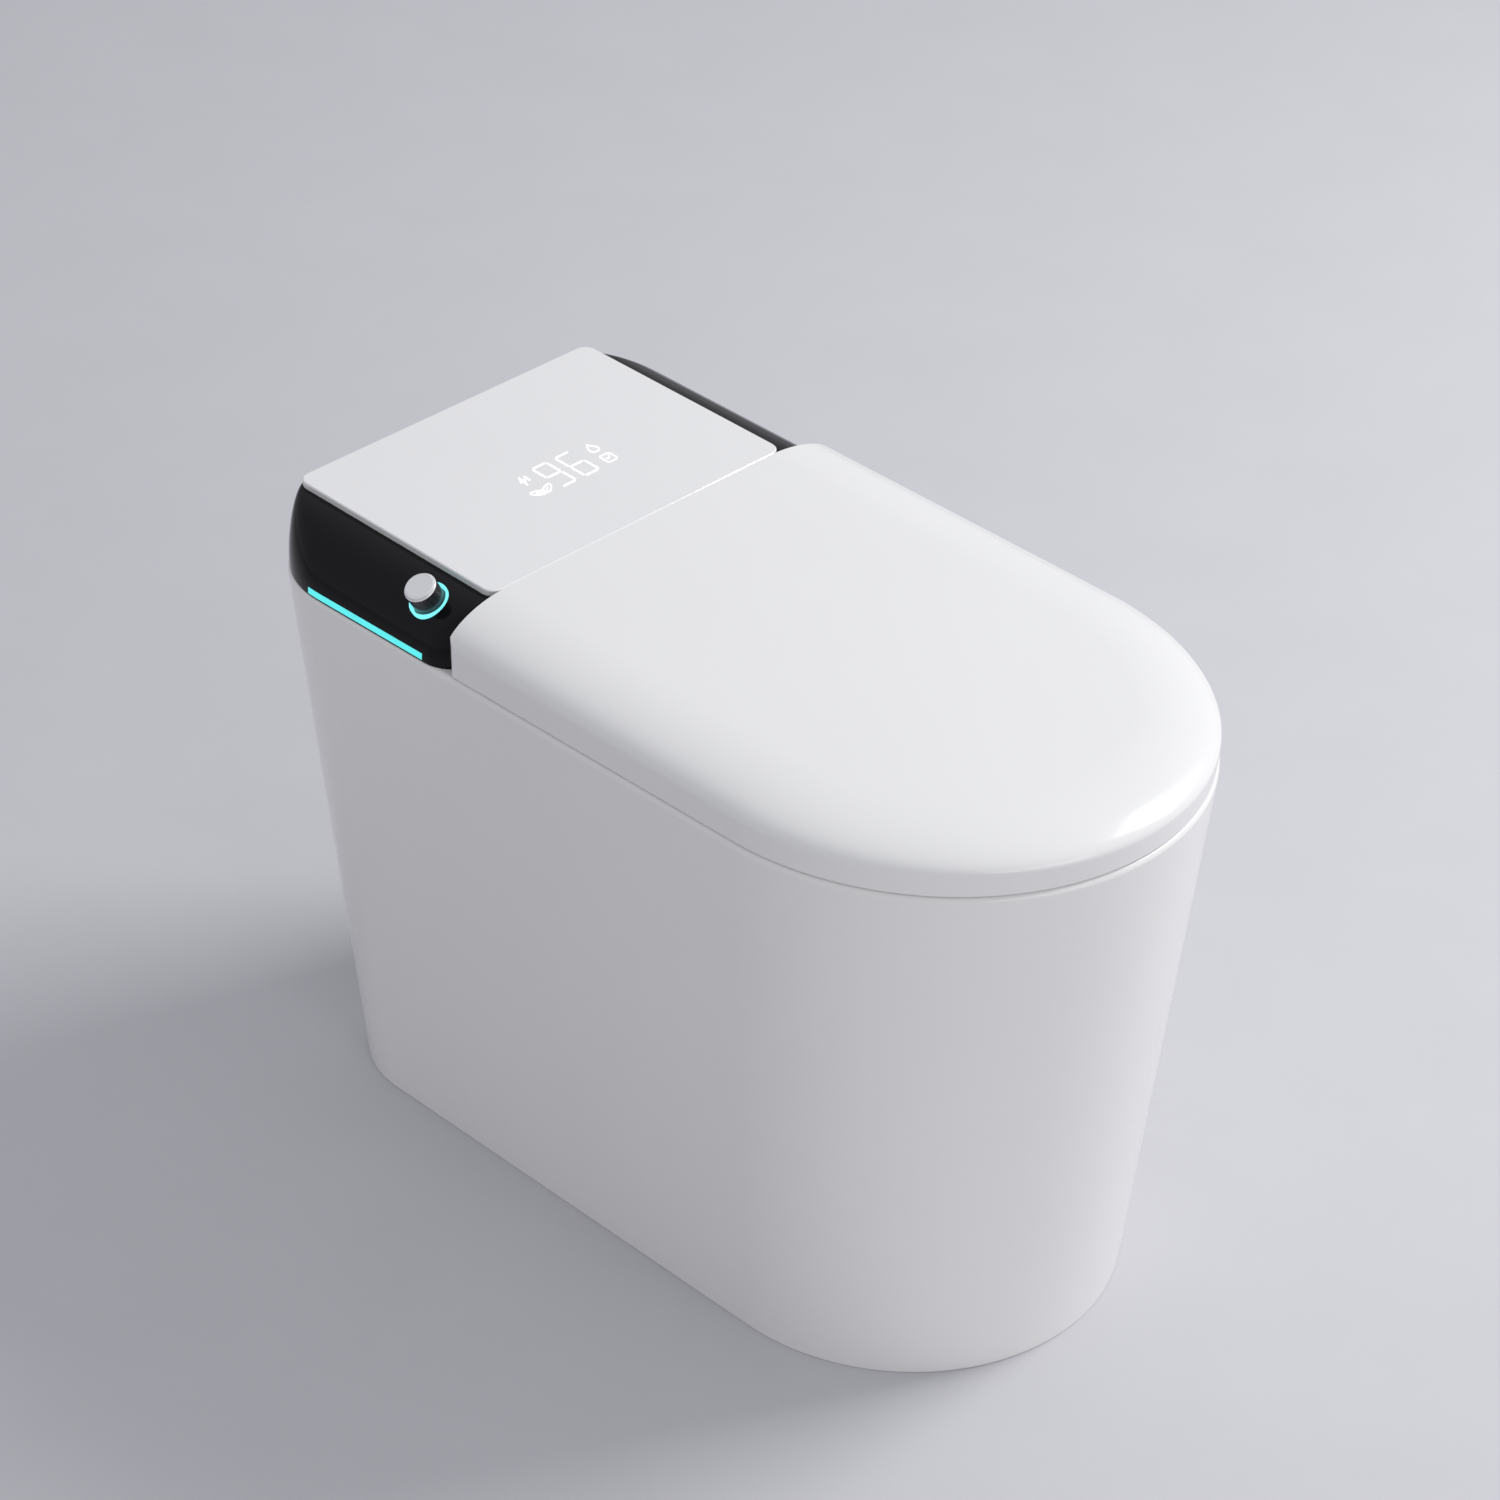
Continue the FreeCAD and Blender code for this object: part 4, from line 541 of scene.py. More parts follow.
def noise(nodes, links, scale, detail, stretch=(1, 1, 1)):
    """Noise in the object's own coordinates; the scale counts per metre."""
    place = nodes.new("ShaderNodeTexCoord")
    sizing = nodes.new("ShaderNodeMapping")
    sizing.inputs["Scale"].default_value = stretch
    texture = nodes.new("ShaderNodeTexNoise")
    texture.inputs["Scale"].default_value = scale
    texture.inputs["Detail"].default_value = detail
    links.new(place.outputs["Object"], sizing.inputs["Vector"])
    links.new(sizing.outputs["Vector"], texture.inputs["Vector"])
    return texture.outputs["Fac"]


def ramp(nodes, links, source, low, high):
    """Spread a noise between two colours, or two plain values."""
    made = nodes.new("ShaderNodeValToRGB")
    for element, place, value in zip(made.color_ramp.elements, RAMP_PLACES, (low, high)):
        element.position = place
        element.color = value if hasattr(value, "__len__") else (value, value, value, 1)
    links.new(source, made.inputs["Fac"])
    return made.outputs["Color"]


def bump(nodes, links, shader, source, strength, depth):
    made = nodes.new("ShaderNodeBump")
    made.inputs["Strength"].default_value = strength
    made.inputs["Distance"].default_value = depth * METRE
    links.new(source, made.inputs["Height"])
    links.new(made.outputs["Normal"], shader.inputs["Normal"])


def shade(colour, amount):
    return tuple(min(1.0, channel * amount) for channel in colour[:3]) + (1.0,)


def surface(name, colour, rough, spread=0.015, grain=900.0, depth=0.0, strength=0.1, cloud=9.0,
            metal=0.0, coat=0.0, level=0.5, stretch=(1, 1, 1)):
    """A moulded, glazed or metal surface: faint cloudy colour, uneven gloss and a fine grain."""
    material, nodes, links, shader = new_material(name)
    cloudy = noise(nodes, links, cloud, CLOUD_DETAIL)
    tint = ramp(nodes, links, cloudy, shade(colour, 1 - spread), shade(colour, 1 + spread))
    links.new(tint, shader.inputs["Base Color"])
    fine = noise(nodes, links, grain, GRAIN_DETAIL, stretch)
    gloss = ramp(nodes, links, fine, rough * (1 - ROUGHNESS_SPREAD), rough * (1 + ROUGHNESS_SPREAD))
    links.new(gloss, shader.inputs["Roughness"])
    shader.inputs["Metallic"].default_value = metal
    shader.inputs["Coat Weight"].default_value = coat
    shader.inputs["Coat Roughness"].default_value = COAT_ROUGHNESS
    shader.inputs["Specular IOR Level"].default_value = level
    if depth > 0:
        bump(nodes, links, shader, fine, strength, depth)
    return material


def lit(name, colour, strength, body=GLOW_BODY):
    """A light diffuser: an even glow with the faint unevenness of moulded plastic."""
    material, nodes, links, shader = new_material(name)
    shader.inputs["Base Color"].default_value = (*body, 1)
    shader.inputs["Roughness"].default_value = GLOW_ROUGHNESS
    uneven = noise(nodes, links, GLOW_CLOUD, GLOW_DETAIL)
    glow = ramp(nodes, links, uneven, shade(colour, GLOW_LOW), shade(colour, 1.0))
    links.new(glow, shader.inputs["Emission Color"])
    shader.inputs["Emission Strength"].default_value = strength
    return material


GLAZE = surface("glazed_ceramic", (0.865, 0.858, 0.842), 0.20, spread=0.006, grain=260,
                depth=0.02, strength=0.12, coat=0.25, level=0.45)
SHELL = surface("white_moulding", (0.845, 0.842, 0.832), 0.17, spread=0.006, grain=420,
                depth=0.01, strength=0.1, coat=0.15, level=0.45)
LINER = surface("white_satin_plastic", (0.76, 0.76, 0.765), 0.42, spread=0.012, grain=1800, depth=0.02)
GLASS = surface("white_backed_glass", (0.825, 0.823, 0.818), 0.12, spread=0.004, grain=120,
                coat=0.2, level=0.4)
# the chamfer's colour: a brighter white than the glass, a painted highlight line along the panel's edge; its
# lower roughness and stronger coat are real gloss
GLASS_EDGE_HIGHLIGHT = surface("glass_edge_painted_highlight", (0.93, 0.93, 0.93), 0.08, spread=0.003, grain=300,
                     coat=0.6, level=0.6)
BLACK = surface("gloss_black_moulding", (0.0055, 0.0055, 0.0062), 0.10, spread=0.10, grain=150, level=0.17)
SILVER = surface("fine_turned_aluminium", (0.86, 0.86, 0.865), 0.36, spread=0.02, grain=900,
                 depth=0.012, metal=0.25, level=0.5)
DARK_METAL = surface("anodised_grey_aluminium", (0.10, 0.10, 0.105), 0.28, spread=0.06, grain=700,
                     depth=0.01, metal=0.85, stretch=(1, 1, 9))
STEEL = surface("brushed_steel", (0.55, 0.55, 0.56), 0.30, spread=0.05, grain=600, depth=0.02,
                metal=1.0, stretch=(10, 1, 1))
RUBBER = surface("soft_rubber", (0.62, 0.62, 0.63), 0.62, spread=0.03, grain=2200, depth=0.03, level=0.3)
WHITE_PLASTIC = surface("white_plastic", (0.72, 0.72, 0.72), 0.40, spread=0.02, grain=1500, depth=0.02)
GREY_PLASTIC = surface("grey_glass_filled_plastic", (0.16, 0.165, 0.17), 0.50, spread=0.08,
                       grain=1600, depth=0.05)
MOTOR_CAN = surface("zinc_plated_can", (0.50, 0.50, 0.52), 0.33, spread=0.06, grain=420, depth=0.02,
                    metal=1.0, cloud=90)
BOARD = surface("circuit_board_lacquer", (0.012, 0.075, 0.035), 0.32, spread=0.12, grain=700,
                depth=0.03, cloud=260)
BRASS = surface("brass", (0.62, 0.43, 0.16), 0.28, spread=0.06, grain=520, depth=0.02, metal=1.0)
MAT = surface("heater_mat_film", (0.35, 0.11, 0.04), 0.45, spread=0.1, grain=900, depth=0.03)
CYAN_BAR = lit("cyan_bar_diffuser", (0.100, 0.86, 0.88), 1.0)
CYAN_RING = lit("cyan_ring_diffuser", (0.22, 0.97, 1.0), 1.05)
PRINT = lit("display_light", (1.0, 1.0, 1.0), 1.15, body=(0.8, 0.8, 0.8))

SLOT_FINISH = {
    "ceramic": GLAZE,
    "white_shell": SHELL,
    "white_liner": LINER,
    "white_glass": GLASS,
    "black_shell": BLACK,
    "light": CYAN_BAR,
    "display_print": PRINT,
    "silver": SILVER,
    "dark_metal": DARK_METAL,
    "steel": STEEL,
    "rubber": RUBBER,
    "white_plastic": WHITE_PLASTIC,
    "grey_plastic": GREY_PLASTIC,
    "motor_can": MOTOR_CAN,
    "circuit_board": BOARD,
    "brass": BRASS,
    "heater_mat": MAT,
}


# lid ----------------------------------------------------------------------------------


def lid_rings(inset, drop, low, edge_round=0.0):
    """Rings up the lid's side and over its crown, at an inset from the outside."""
    half = LID_HALF - inset
    nose = LID_NOSE - inset
    rear = SEAM + LID_PAST_SEAM
    top = TOP - drop
    length = SEAM - NOSE_START + nose
    lean = (CROWN_REAR - CROWN_FRONT) / length
    crown = []
    for angle in quarter(CROWN_STEPS):
        inwards = CROWN_WIDTH * (1 - math.cos(angle))
        fall = 1 - math.sin(angle)
        outline = plan(half - inwards, nose - inwards, NOSE_START, rear)
        crown.append(tipped(outline, top - CROWN_REAR * fall, SLOPE - lean * fall))
    foot_level = low - LID_FOOT_DROP
    foot = plan(half - LID_FLARE, nose - LID_FLARE, NOSE_START, rear, z=foot_level)
    side = []
    for level in [low + edge_round] + [low + rise for rise in LID_SIDE_LEVELS]:
        ring = []
        for start, end in zip(foot, crown[0]):
            ring.append(start.lerp(end, (level - foot_level) / (end.z - foot_level)))
        side.append(ring)
    if edge_round > 0:
        side = softened_foot(side[0], low, edge_round) + side
    return side + crown


def softened_foot(ring, low, radius):
    """Rings that round a wall's lower edge, from the bottom up to just under the given ring."""
    made = []
    for angle in reversed(quarter(4)[1:]):
        pull = radius * (1 - math.cos(angle))
        level = low + radius * (1 - math.sin(angle))
        drawn = []
        for index, point in enumerate(ring):
            along = ring[(index + 1) % len(ring)] - ring[index - 1]
            inward = Vector((-along.y, along.x, 0.0)).normalized()
            drawn.append(Vector((point.x, point.y, level)) + inward * pull)
        made.append(drawn)
    return made


def make_lid():
    """The cover: thin walls, a hollow round the hinge's line and room for the four arms."""
    low = LID_LOW.z
    seam = SEAM - SEAM_HALF
    lid = loft("lid_cover", lid_rings(0.0, 0.0, low, LID_EDGE_ROUND))
    levels = (low - PAST, TOP + 30)
    limit = loft("limit", [plan(LID_HALF, LID_NOSE_LIMIT, NOSE_START, seam, LID_CORNER, z) for z in levels])
    carve(lid, [limit], "INTERSECT")
    inside = loft("inside", lid_rings(LID_WALL, LID_WALL, low - LID_INSIDE_DROP))
    reach = seam - LID_REAR_WALL
    keep = block("keep", (-400, 400), (-WIDE, reach), (low - 20, TOP + 50))
    carve(inside, [keep], "INTERSECT")
    radius = math.hypot(HINGE.y - seam, TOP - HINGE.z)
    side = Vector((400, 0, 0))
    hinge = rod_along("hinge_room", radius, HINGE - side, HINGE + side, HINGE_ROOM_STEPS)
    depth = (reach - 6, seam + PAST)
    arms = block("arm_gap", (-ARM_GAP_HALF, ARM_GAP_HALF), depth, (low - PAST, TOP - ARM_GAP_UNDER_TOP))
    relief = block("relief", (-RELIEF_HALF, RELIEF_HALF), depth, (low - PAST, RELIEF_TOP))
    carve(lid, [inside, hinge, arms, relief])
    dress(lid, "lid", SHELL, ["lid_shell"], sharp=28.0, bevel=0.6)


def make_liner():
    """The inner cover: a flat field with a soft raised border."""
    half = LINER_HIGH.x
    nose = -LINER_LOW.y + NOSE_START
    rear = LINER_HIGH.y
    under = TOP - LID_WALL - LINER_GAP
    rings = []
    for inset, z in LINER_SECTION:
        outline = plan(half - inset, nose - inset, NOSE_START, rear - inset, LINER_CORNER)
        rings.append(tipped([point + Vector((0, 0, z)) for point in outline], under, SLOPE))
    liner = loft("lid_inner_cover", rings)
    dress(liner, "lid", LINER, ["lid_liner"], sharp=40.0)


# ceramic ------------------------------------------------------------------------------


def skirt_ring(height, inset=0.0, z=None):
    """The tapered skirt's outline at a height, drawn in by an inset."""
    share = height / RIM
    return plan(mix(BASE_HALF, RIM_HALF, share) - inset, mix(BASE_NOSE, RIM_NOSE, share) - inset,
                mix(BASE_START, NOSE_START, share), mix(BASE_REAR, RIM_REAR, share) - inset,
                mix(BASE_CORNER, RIM_CORNER, share) - inset, height if z is None else z)


def skirt_rings():
    """The outside: a softened foot, the tapered wall and the rounded rim."""
    wall = [skirt_ring(RIM_STRAIGHT * step / WALL_STEPS) for step in range(WALL_STEPS + 1)]
    wall[0] = skirt_ring(FOOT_ROUND)
    radius = RIM - RIM_STRAIGHT
    rim = []
    for angle in quarter(RIM_STEPS)[1:]:
        level = RIM_STRAIGHT + radius * math.sin(angle)
        rim.append(skirt_ring(RIM_STRAIGHT, radius * (1 - math.cos(angle)), level))
    return softened_foot(wall[0], 0.0, FOOT_ROUND) + wall + rim


def bowl_ring(share, grow):
    """The bowl's outline at a share of its depth, by a smooth curve through five outlines."""
    place = share * (len(BOWL_SHAPE) - 1)
    first = min(int(place), len(BOWL_SHAPE) - 2)
    part = place - first
    known = [BOWL_SHAPE[min(max(first + step, 0), len(BOWL_SHAPE) - 1)] for step in (-1, 0, 1, 2)]
    height, wide, long, back = (catmull([row[index] for row in known], part) for index in range(4))
    z = mix(BOWL_FLOOR - grow, RIM, height)
    ring = []
    for point in circle(1.0, z, BOWL_STEPS):
        x = point.x * (BOWL_HALF * wide + grow)
        y = BOWL_MIDDLE + back + point.y * (BOWL_LENGTH * long + grow)
        ring.append(Vector((x, y, z)))
    return ring


def catmull(values, part):
    """A smooth value between the second and third of four."""
    a, b, c, d = values
    return b + 0.5 * part * (c - a + part * (2 * a - 5 * b + 4 * c - d + part * (3 * (b - c) + d - a)))


def bowl_solid(name, grow, over=0.0):
    """The bowl's inside, or its outside when grown by its wall."""
    rings = [bowl_ring(1 - step / BOWL_RINGS, grow) for step in range(BOWL_RINGS + 1)]
    if over > 0:
        rings.append([point + Vector((0, 0, over)) for point in rings[-1]])
    return loft(name, rings)


def path_points(corners, radius):
    """Straight runs joined by tangent arcs."""
    points = [corners[0]]
    for before, corner, after in zip(corners, corners[1:], corners[2:]):
        into = (corner - before).normalized()
        out = (after - corner).normalized()
        turn = into.angle(out)
        reach = radius * math.tan(turn / 2)
        middle = corner + (out - into).normalized() * (radius / math.cos(turn / 2))
        start = corner - into * reach - middle
        end = corner + out * reach - middle
        for step in range(BEND_STEPS + 1):
            part = turn * step / BEND_STEPS
            points.append(middle + (start * math.sin(turn - part) + end * math.sin(part)) / math.sin(turn))
    return points + [corners[-1]]


def tube(name, corners, radius, bend):
    """A round tube along a path that stays in one upright plane."""
    points = path_points(corners, bend)
    rings = []
    for index, point in enumerate(points):
        along = points[min(index + 1, len(points) - 1)] - points[max(index - 1, 0)]
        across = Vector((1, 0, 0))
        up = along.normalized().cross(across)
        rings.append([point + across * p.x + up * p.y for p in circle(radius, 0.0, TUBE_STEPS)])
    return loft(name, rings)


def trap_corners():
    return [Vector((0, y, z)) for y, z in TRAP_PATH]


def make_ceramic():
    """The china body as one glazed piece, with its bowl, channel, trapway and openings."""
    under_deck = RIM - DECK
    body = loft("china_body", skirt_rings())
    hollow = loft("hollow", [skirt_ring(max(level, 0.0), CHINA_WALL, level) for level in (-1.0, under_deck)])
    carve(body, [hollow])
    for part in china_parts(under_deck):
        carve(body, [part], "UNION")
    for tool in china_openings(under_deck):
        carve(body, [tool])
    for x in (-BOLT_PLACE, BOLT_PLACE):
        for y in BOLT_LINES:
            foot = Vector((x, y, under_deck - 2))
            carve(body, [rod_along("bolt_hole", BOLT_HOLE, foot, Vector((x, y, RIM + 2)), BOLT_STEPS)])
    stands_for = sorted(name for name in frame["nodes"] if name.startswith("ceramic_"))
    dress(body, "toilet", GLAZE, stands_for, sharp=30.0, bevel=0.8)


def china_parts(under_deck):
    """What the hollow body holds: bowl, trapway, the channel's casing and the jet's tube."""
    bowl = bowl_solid("bowl", BOWL_WALL)
    keep = block("keep", (-WIDE, WIDE), (-WIDE, WIDE), (0, RIM - BOWL_UNDER_RIM))
    carve(bowl, [keep], "INTERSECT")
    trap = tube("trap", trap_corners(), DRAIN_RADIUS + TRAP_WALL, TRAP_BEND)
    sides = (CHANNEL_X[0] - CHINA_WALL, CHANNEL_X[1] + CHINA_WALL)
    levels = (CHANNEL_FLOOR - CHINA_WALL, under_deck + 1)
    casing = block("casing", sides, (CHANNEL_FRONT + 5, BAY_FRONT), levels)
    jet = rod_along("jet", JET_WALL_RADIUS, JET_PORT - Vector((0, JET_WALL_LENGTH, 0)), JET_PORT)
    return bowl, trap, casing, jet


def china_openings(under_deck):
    """What is open in the body: bowl, trapway, bay, channel, service opening and jet."""
    levels = (under_deck - 1, RIM + 2)
    bay = loft("bay", [box_plan(BAY_HALF, BAY_FRONT, BAY_REAR, BAY_CORNER, BAY_CORNER, z) for z in levels])
    channel = block("channel", CHANNEL_X, (CHANNEL_FRONT, BAY_FRONT + 1), (CHANNEL_FLOOR, RIM + 1))
    arch = service_tool()
    way = trap_corners()[:-1] + [Vector((0, DRAIN_LINE, -PAST))]
    bore = tube("bore", way, DRAIN_RADIUS, TRAP_BEND)
    jet_end = JET_PORT - Vector((0, JET_LENGTH, 0))
    jet = rod_along("jet_bore", JET_RADIUS, jet_end, JET_PORT + Vector((0, 1, 0)))
    return bowl_solid("inside", 0.0, 2.0), bore, bay, channel, arch, jet


def service_tool():
    """The arched opening low in the rear wall."""
    outline = [Vector((-SERVICE_HALF, 0, SERVICE_BOTTOM)), Vector((SERVICE_HALF, 0, SERVICE_BOTTOM))]
    for step in range(ARCH_STEPS + 1):
        angle = math.pi * step / ARCH_STEPS
        x = SERVICE_HALF * math.cos(angle)
        outline.append(Vector((x, 0, SERVICE_TOP + SERVICE_HALF * math.sin(angle))))
    ends = (RIM_REAR - SERVICE_DEPTH, RIM_REAR + PAST)
    return loft("arch", [[point + Vector((0, y, 0)) for point in outline] for y in ends])


# housing, panel, display and light bar ------------------------------------------------


def housing_rings(inset):
    """Rings from the housing's foot on the deck to the flat that carries the glass."""
    foot_half = DECK_HIGH.x + RIM_EDGE_SIDE - HOUSING_SET_IN - inset
    rear_foot = DECK_HIGH.y + RIM_EDGE_REAR - HOUSING_SET_IN - inset
    top_half = -PANEL_LOW.x - inset
    rear_top = SEAM + PANEL_DEPTH - inset
    front = HOUSING_FRONT if inset == 0 else HOUSING_FACE + inset
    foot = RIM if inset == 0 else RIM - 1.0
    top = TOP - PANEL_THICKNESS - GLASS_BED - inset
    rings = []
    for angle in quarter(HOUSING_STEPS):
        share = 1 - math.cos(angle)
        rise = math.sin(angle)
        front_round = mix(HOUSING_FRONT_ROUND - inset, HOUSING_TOP_ROUND, share)
        rear_round = mix(HOUSING_REAR_ROUND - inset, PANEL_CORNER, share)
        outline = box_plan(mix(foot_half, top_half, share), front, mix(rear_foot, rear_top, share),
                           front_round, rear_round)
        rings.append(tipped(outline, mix(foot, top, rise), SLOPE * rise))
    return rings


def knob_matrix():
    return Matrix.Translation(KNOB_BASE) @ Matrix.Rotation(-KNOB_LEAN, 4, "Y")


def housing_openings():
    """The knob's hole, the arms' slots, the front's step, both mouths and the display's window."""
    hole = loft("knob_hole", [circle(RING_HOLE, z, 96) for z in (-RING_HOLE_REACH, RING_HOLE_REACH)])
    tools = [turn_piece(hole, knob_matrix())]
    depth = (HOUSING_FRONT - 1, ARM_SLOT_REAR)
    for near in ARM_SLOTS:
        far = near + ARM_SLOT_WIDTH
        for sides in ((near, far), (-far, -near)):
            tools.append(block("arm_slot", sides, depth, (RIM - 1, RIM + ARM_SLOT_HEIGHT)))
    above = (RIM + HOUSING_LOW_FACE, RIM + CUT_TOP)
    mouth = (0, HOUSING_FACE + 10)
    tools.append(block("front_cut", (-400, 400), (0, HOUSING_FACE), above))
    tools.append(block("guide_mouth", (-31, 31), mouth, (RIM - 1, RIM + 12)))
    tools.append(block("duct_mouth", (35, 81), mouth, (RIM - 1, RIM + 3)))
    tools.append(block("window", (-56, 64), (184, 246), above))
    return tools


def make_housing():
    """The rear cover with its openings, and the light strip that lies flush in its side."""
    shell = loft("rear_cover", housing_rings(0.0))
    carve(shell, [loft("inside", housing_rings(HOUSING_WALL))])
    sides = (DECK_LOW.x - PAST, BAR_ROOM_SIDE)
    bar_room = block("bar_room", sides, (BAR_LOW.y, BAR_HIGH.y), (BAR_LOW.z, BAR_HIGH.z))
    bar = copy_of(shell, "light_strip")
    carve(bar, [copy_of(bar_room, "bar_keep")], "INTERSECT")
    for tool in [bar_room] + housing_openings():
        carve(shell, [tool])
    dress(shell, "toilet", BLACK, ["rear_housing"], sharp=28.0, bevel=0.25)
    dress(bar, "toilet", CYAN_BAR, ["light_bar"], sharp=28.0, bevel=0.35)


def make_panel():
    """White-backed glass with softened edges; its chamfer is painted a brighter white, a painted highlight
    line along the edge.
    """
    half = -PANEL_LOW.x
    front = SEAM + SEAM_HALF
    rear = SEAM + PANEL_DEPTH
    rings = []
    for inset, z in PANEL_SECTION:
        corner = PANEL_CORNER - inset
        outline = box_plan(half - inset, front + inset, rear - inset, corner, corner)
        rings.append(tipped([point + Vector((0, 0, z)) for point in outline], TOP, SLOPE))
    panel = loft("top_glass", rings)
    dress(panel, "toilet", GLASS, ["glass_top_panel"], sharp=24.0)
    # the chamfer's faces take the brighter colour: a painted highlight line
    panel.data.materials.append(GLASS_EDGE_HIGHLIGHT)
    for face in panel.data.polygons:
        if len(face.vertices) == 4 and PAINTED_HIGHLIGHT_LOW < face.normal.z < PAINTED_HIGHLIGHT_HIGH:
            face.material_index = 1


def slab(name, outline, thickness=PRINT_THICKNESS):
    return loft(name, [[Vector((x, y, z)) for x, y in outline] for z in (0.0, thickness)])


def join(name, items):
    """Put several meshes into one object."""
    mesh = bmesh.new()
    for item in items:
        mesh.from_mesh(item.data)
        bpy.data.objects.remove(item)
    return to_object(name, mesh)


def bar_outline(length, upright):
    """A lit bar with mitred ends."""
    half = length / 2
    thick = DIGIT_STROKE / 2
    inner = half - thick
    points = [(-half, 0), (-inner, -thick), (inner, -thick), (half, 0), (inner, thick), (-inner, thick)]
    return [(-y, x) for x, y in points] if upright else points


def make_digits():
    """Two digits of seven bars each, with one bar unlit in each."""
    wide = DIGIT_WIDTH
    tall = DIGIT_HEIGHT / 2
    bars = {
        "top": (0, tall, False), "middle": (0, 0, False), "bottom": (0, -tall, False),
        "upper_left": (-wide / 2, tall / 2, True), "upper_right": (wide / 2, tall / 2, True),
        "lower_left": (-wide / 2, -tall / 2, True), "lower_right": (wide / 2, -tall / 2, True),
    }
    unlit_bars = ((-DIGIT_PITCH / 2, "lower_left"), (DIGIT_PITCH / 2, "upper_right"))
    items = []
    for shift, unlit in unlit_bars:
        for name in sorted(set(bars) - {unlit}):
            x, y, upright = bars[name]
            length = (tall if upright else wide) - DIGIT_GAP
            bar = slab("digit_bar", bar_outline(length, upright))
            x += DIGITS_PLACE[0] + shift
            items.append(turn_piece(bar, on_panel(x, DIGITS_PLACE[1] + y)))
    digits = join("number_display", items)
    dress(digits, "toilet", PRINT, ["display_digits"])


def framed(name, outer, inner):
    """A thin closed line: an outline with a smaller one cut out of it."""
    plate = slab(name, outer)
    hole = slab("hole", inner, 3 * PRINT_THICKNESS)
    return carve(plate, [turn_piece(hole, Matrix.Translation((0, 0, -PRINT_THICKNESS)))])


def leaf_outline(long, wide):
    """A leaf that starts at the stalk and is fuller near it."""
    points = []
    for step in range(LEAF_STEPS):
        turn = 2 * math.pi * step / LEAF_STEPS
        full = 1 - LEAF_POINT * math.cos(turn)
        points.append((LEAF_MIDDLE + long * math.cos(turn), wide * math.sin(turn) * full))
    return points


def drop_outline(radius, tip):
    """A round drop that draws up to a tip."""
    points = [(0.0, tip)]
    for step in range(DROP_STEPS + 1):
        angle = DROP_START - DROP_TURN * step / DROP_STEPS
        points.append((radius * math.cos(angle), DROP_MIDDLE + radius * math.sin(angle)))
    return points


def rectangle(half, low, high, corner):
    return [(point.x, point.y) for point in box_plan(half, low, high, corner, corner)]


def make_symbols():
    """A flash with two heat strokes, a pair of leaves, a drop and a framed tick, in thin lines."""
    items = [turn_piece(slab("flash", FLASH), on_panel(*FLASH_PLACE))]
    for line in HEAT_LINES:
        stroke = slab("heat_stroke", rectangle(*HEAT_STROKE))
        place = on_panel(FLASH_PLACE[0] + HEAT_SIDE, FLASH_PLACE[1] + line + HEAT_RISE)
        items.append(turn_piece(stroke, place))
    for turn in LEAF_TURNS:
        place = on_panel(*LEAF_PLACE) @ Matrix.Rotation(math.radians(turn), 4, "Z")
        leaf = framed("leaf", leaf_outline(*LEAF_OUTER), leaf_outline(*LEAF_INNER))
        items.append(turn_piece(leaf, place))
        items.append(turn_piece(slab("vein", VEIN), place))
    drop = framed("drop", drop_outline(*DROP_OUTER), drop_outline(*DROP_INNER))
    items.append(turn_piece(drop, on_panel(*DROP_PLACE)))
    frame_line = framed("frame_line", rectangle(*FRAME_OUTER), rectangle(*FRAME_INNER))
    items.append(turn_piece(frame_line, on_panel(*TICK_PLACE)))
    items.append(turn_piece(slab("tick", TICK), on_panel(*TICK_PLACE)))
    symbols = join("symbol_display", items)
    dress(symbols, "toilet", PRINT, ["display_symbols"])


# knob ---------------------------------------------------------------------------------


def grip_section(top):
    """The grip's section: its bore, its foot, the fine grooves of its side and the cap's bed."""
    foot = KNOB_FOOT + 0.6
    bore = CAP_RADIUS + CAP_SLACK
    section = [(KNOB_BORE, KNOB_BORE_LOW), (KNOB_BORE, KNOB_FOOT), (11.2, KNOB_FOOT),
               (11.6, KNOB_FOOT + 0.15), (KNOB_RADIUS, foot)]
    for groove in range(1, GROOVES + 1):
        z = mix(foot, top - 1.2, groove / (GROOVES + 1))
        section += [(KNOB_RADIUS, z - GROOVE_HALF), (KNOB_RADIUS - GROOVE_DEPTH, z),
                    (KNOB_RADIUS, z + GROOVE_HALF)]
    section += [(KNOB_RADIUS, top - 1.0), (11.72, top - 0.45), (11.4, top - 0.06), (bore + 0.2, top)]
    section += [(bore, top - 0.15), (bore, top - CAP_BED), (STEM_BORE, top - CAP_BED)]
    return section + [(STEM_BORE, top - STEM_BORE_DEPTH)]


def cap_section(face):
    """The press cap's section: its stem, its rounded edge and the fine line in its face."""
    back = face - CAP_THICKNESS
    section = [(STEM_RADIUS, STEM_LOW), (STEM_RADIUS, back), (CAP_RADIUS - 0.5, back)]
    section += [(CAP_RADIUS, face - 1.9), (CAP_RADIUS, face - 0.45), (CAP_RADIUS - 0.12, face - 0.14)]
    return section + [(CAP_RADIUS - 0.45, face), (9.75, face), (9.65, face - 0.2), (9.35, face - 0.2),
                      (9.25, face)]


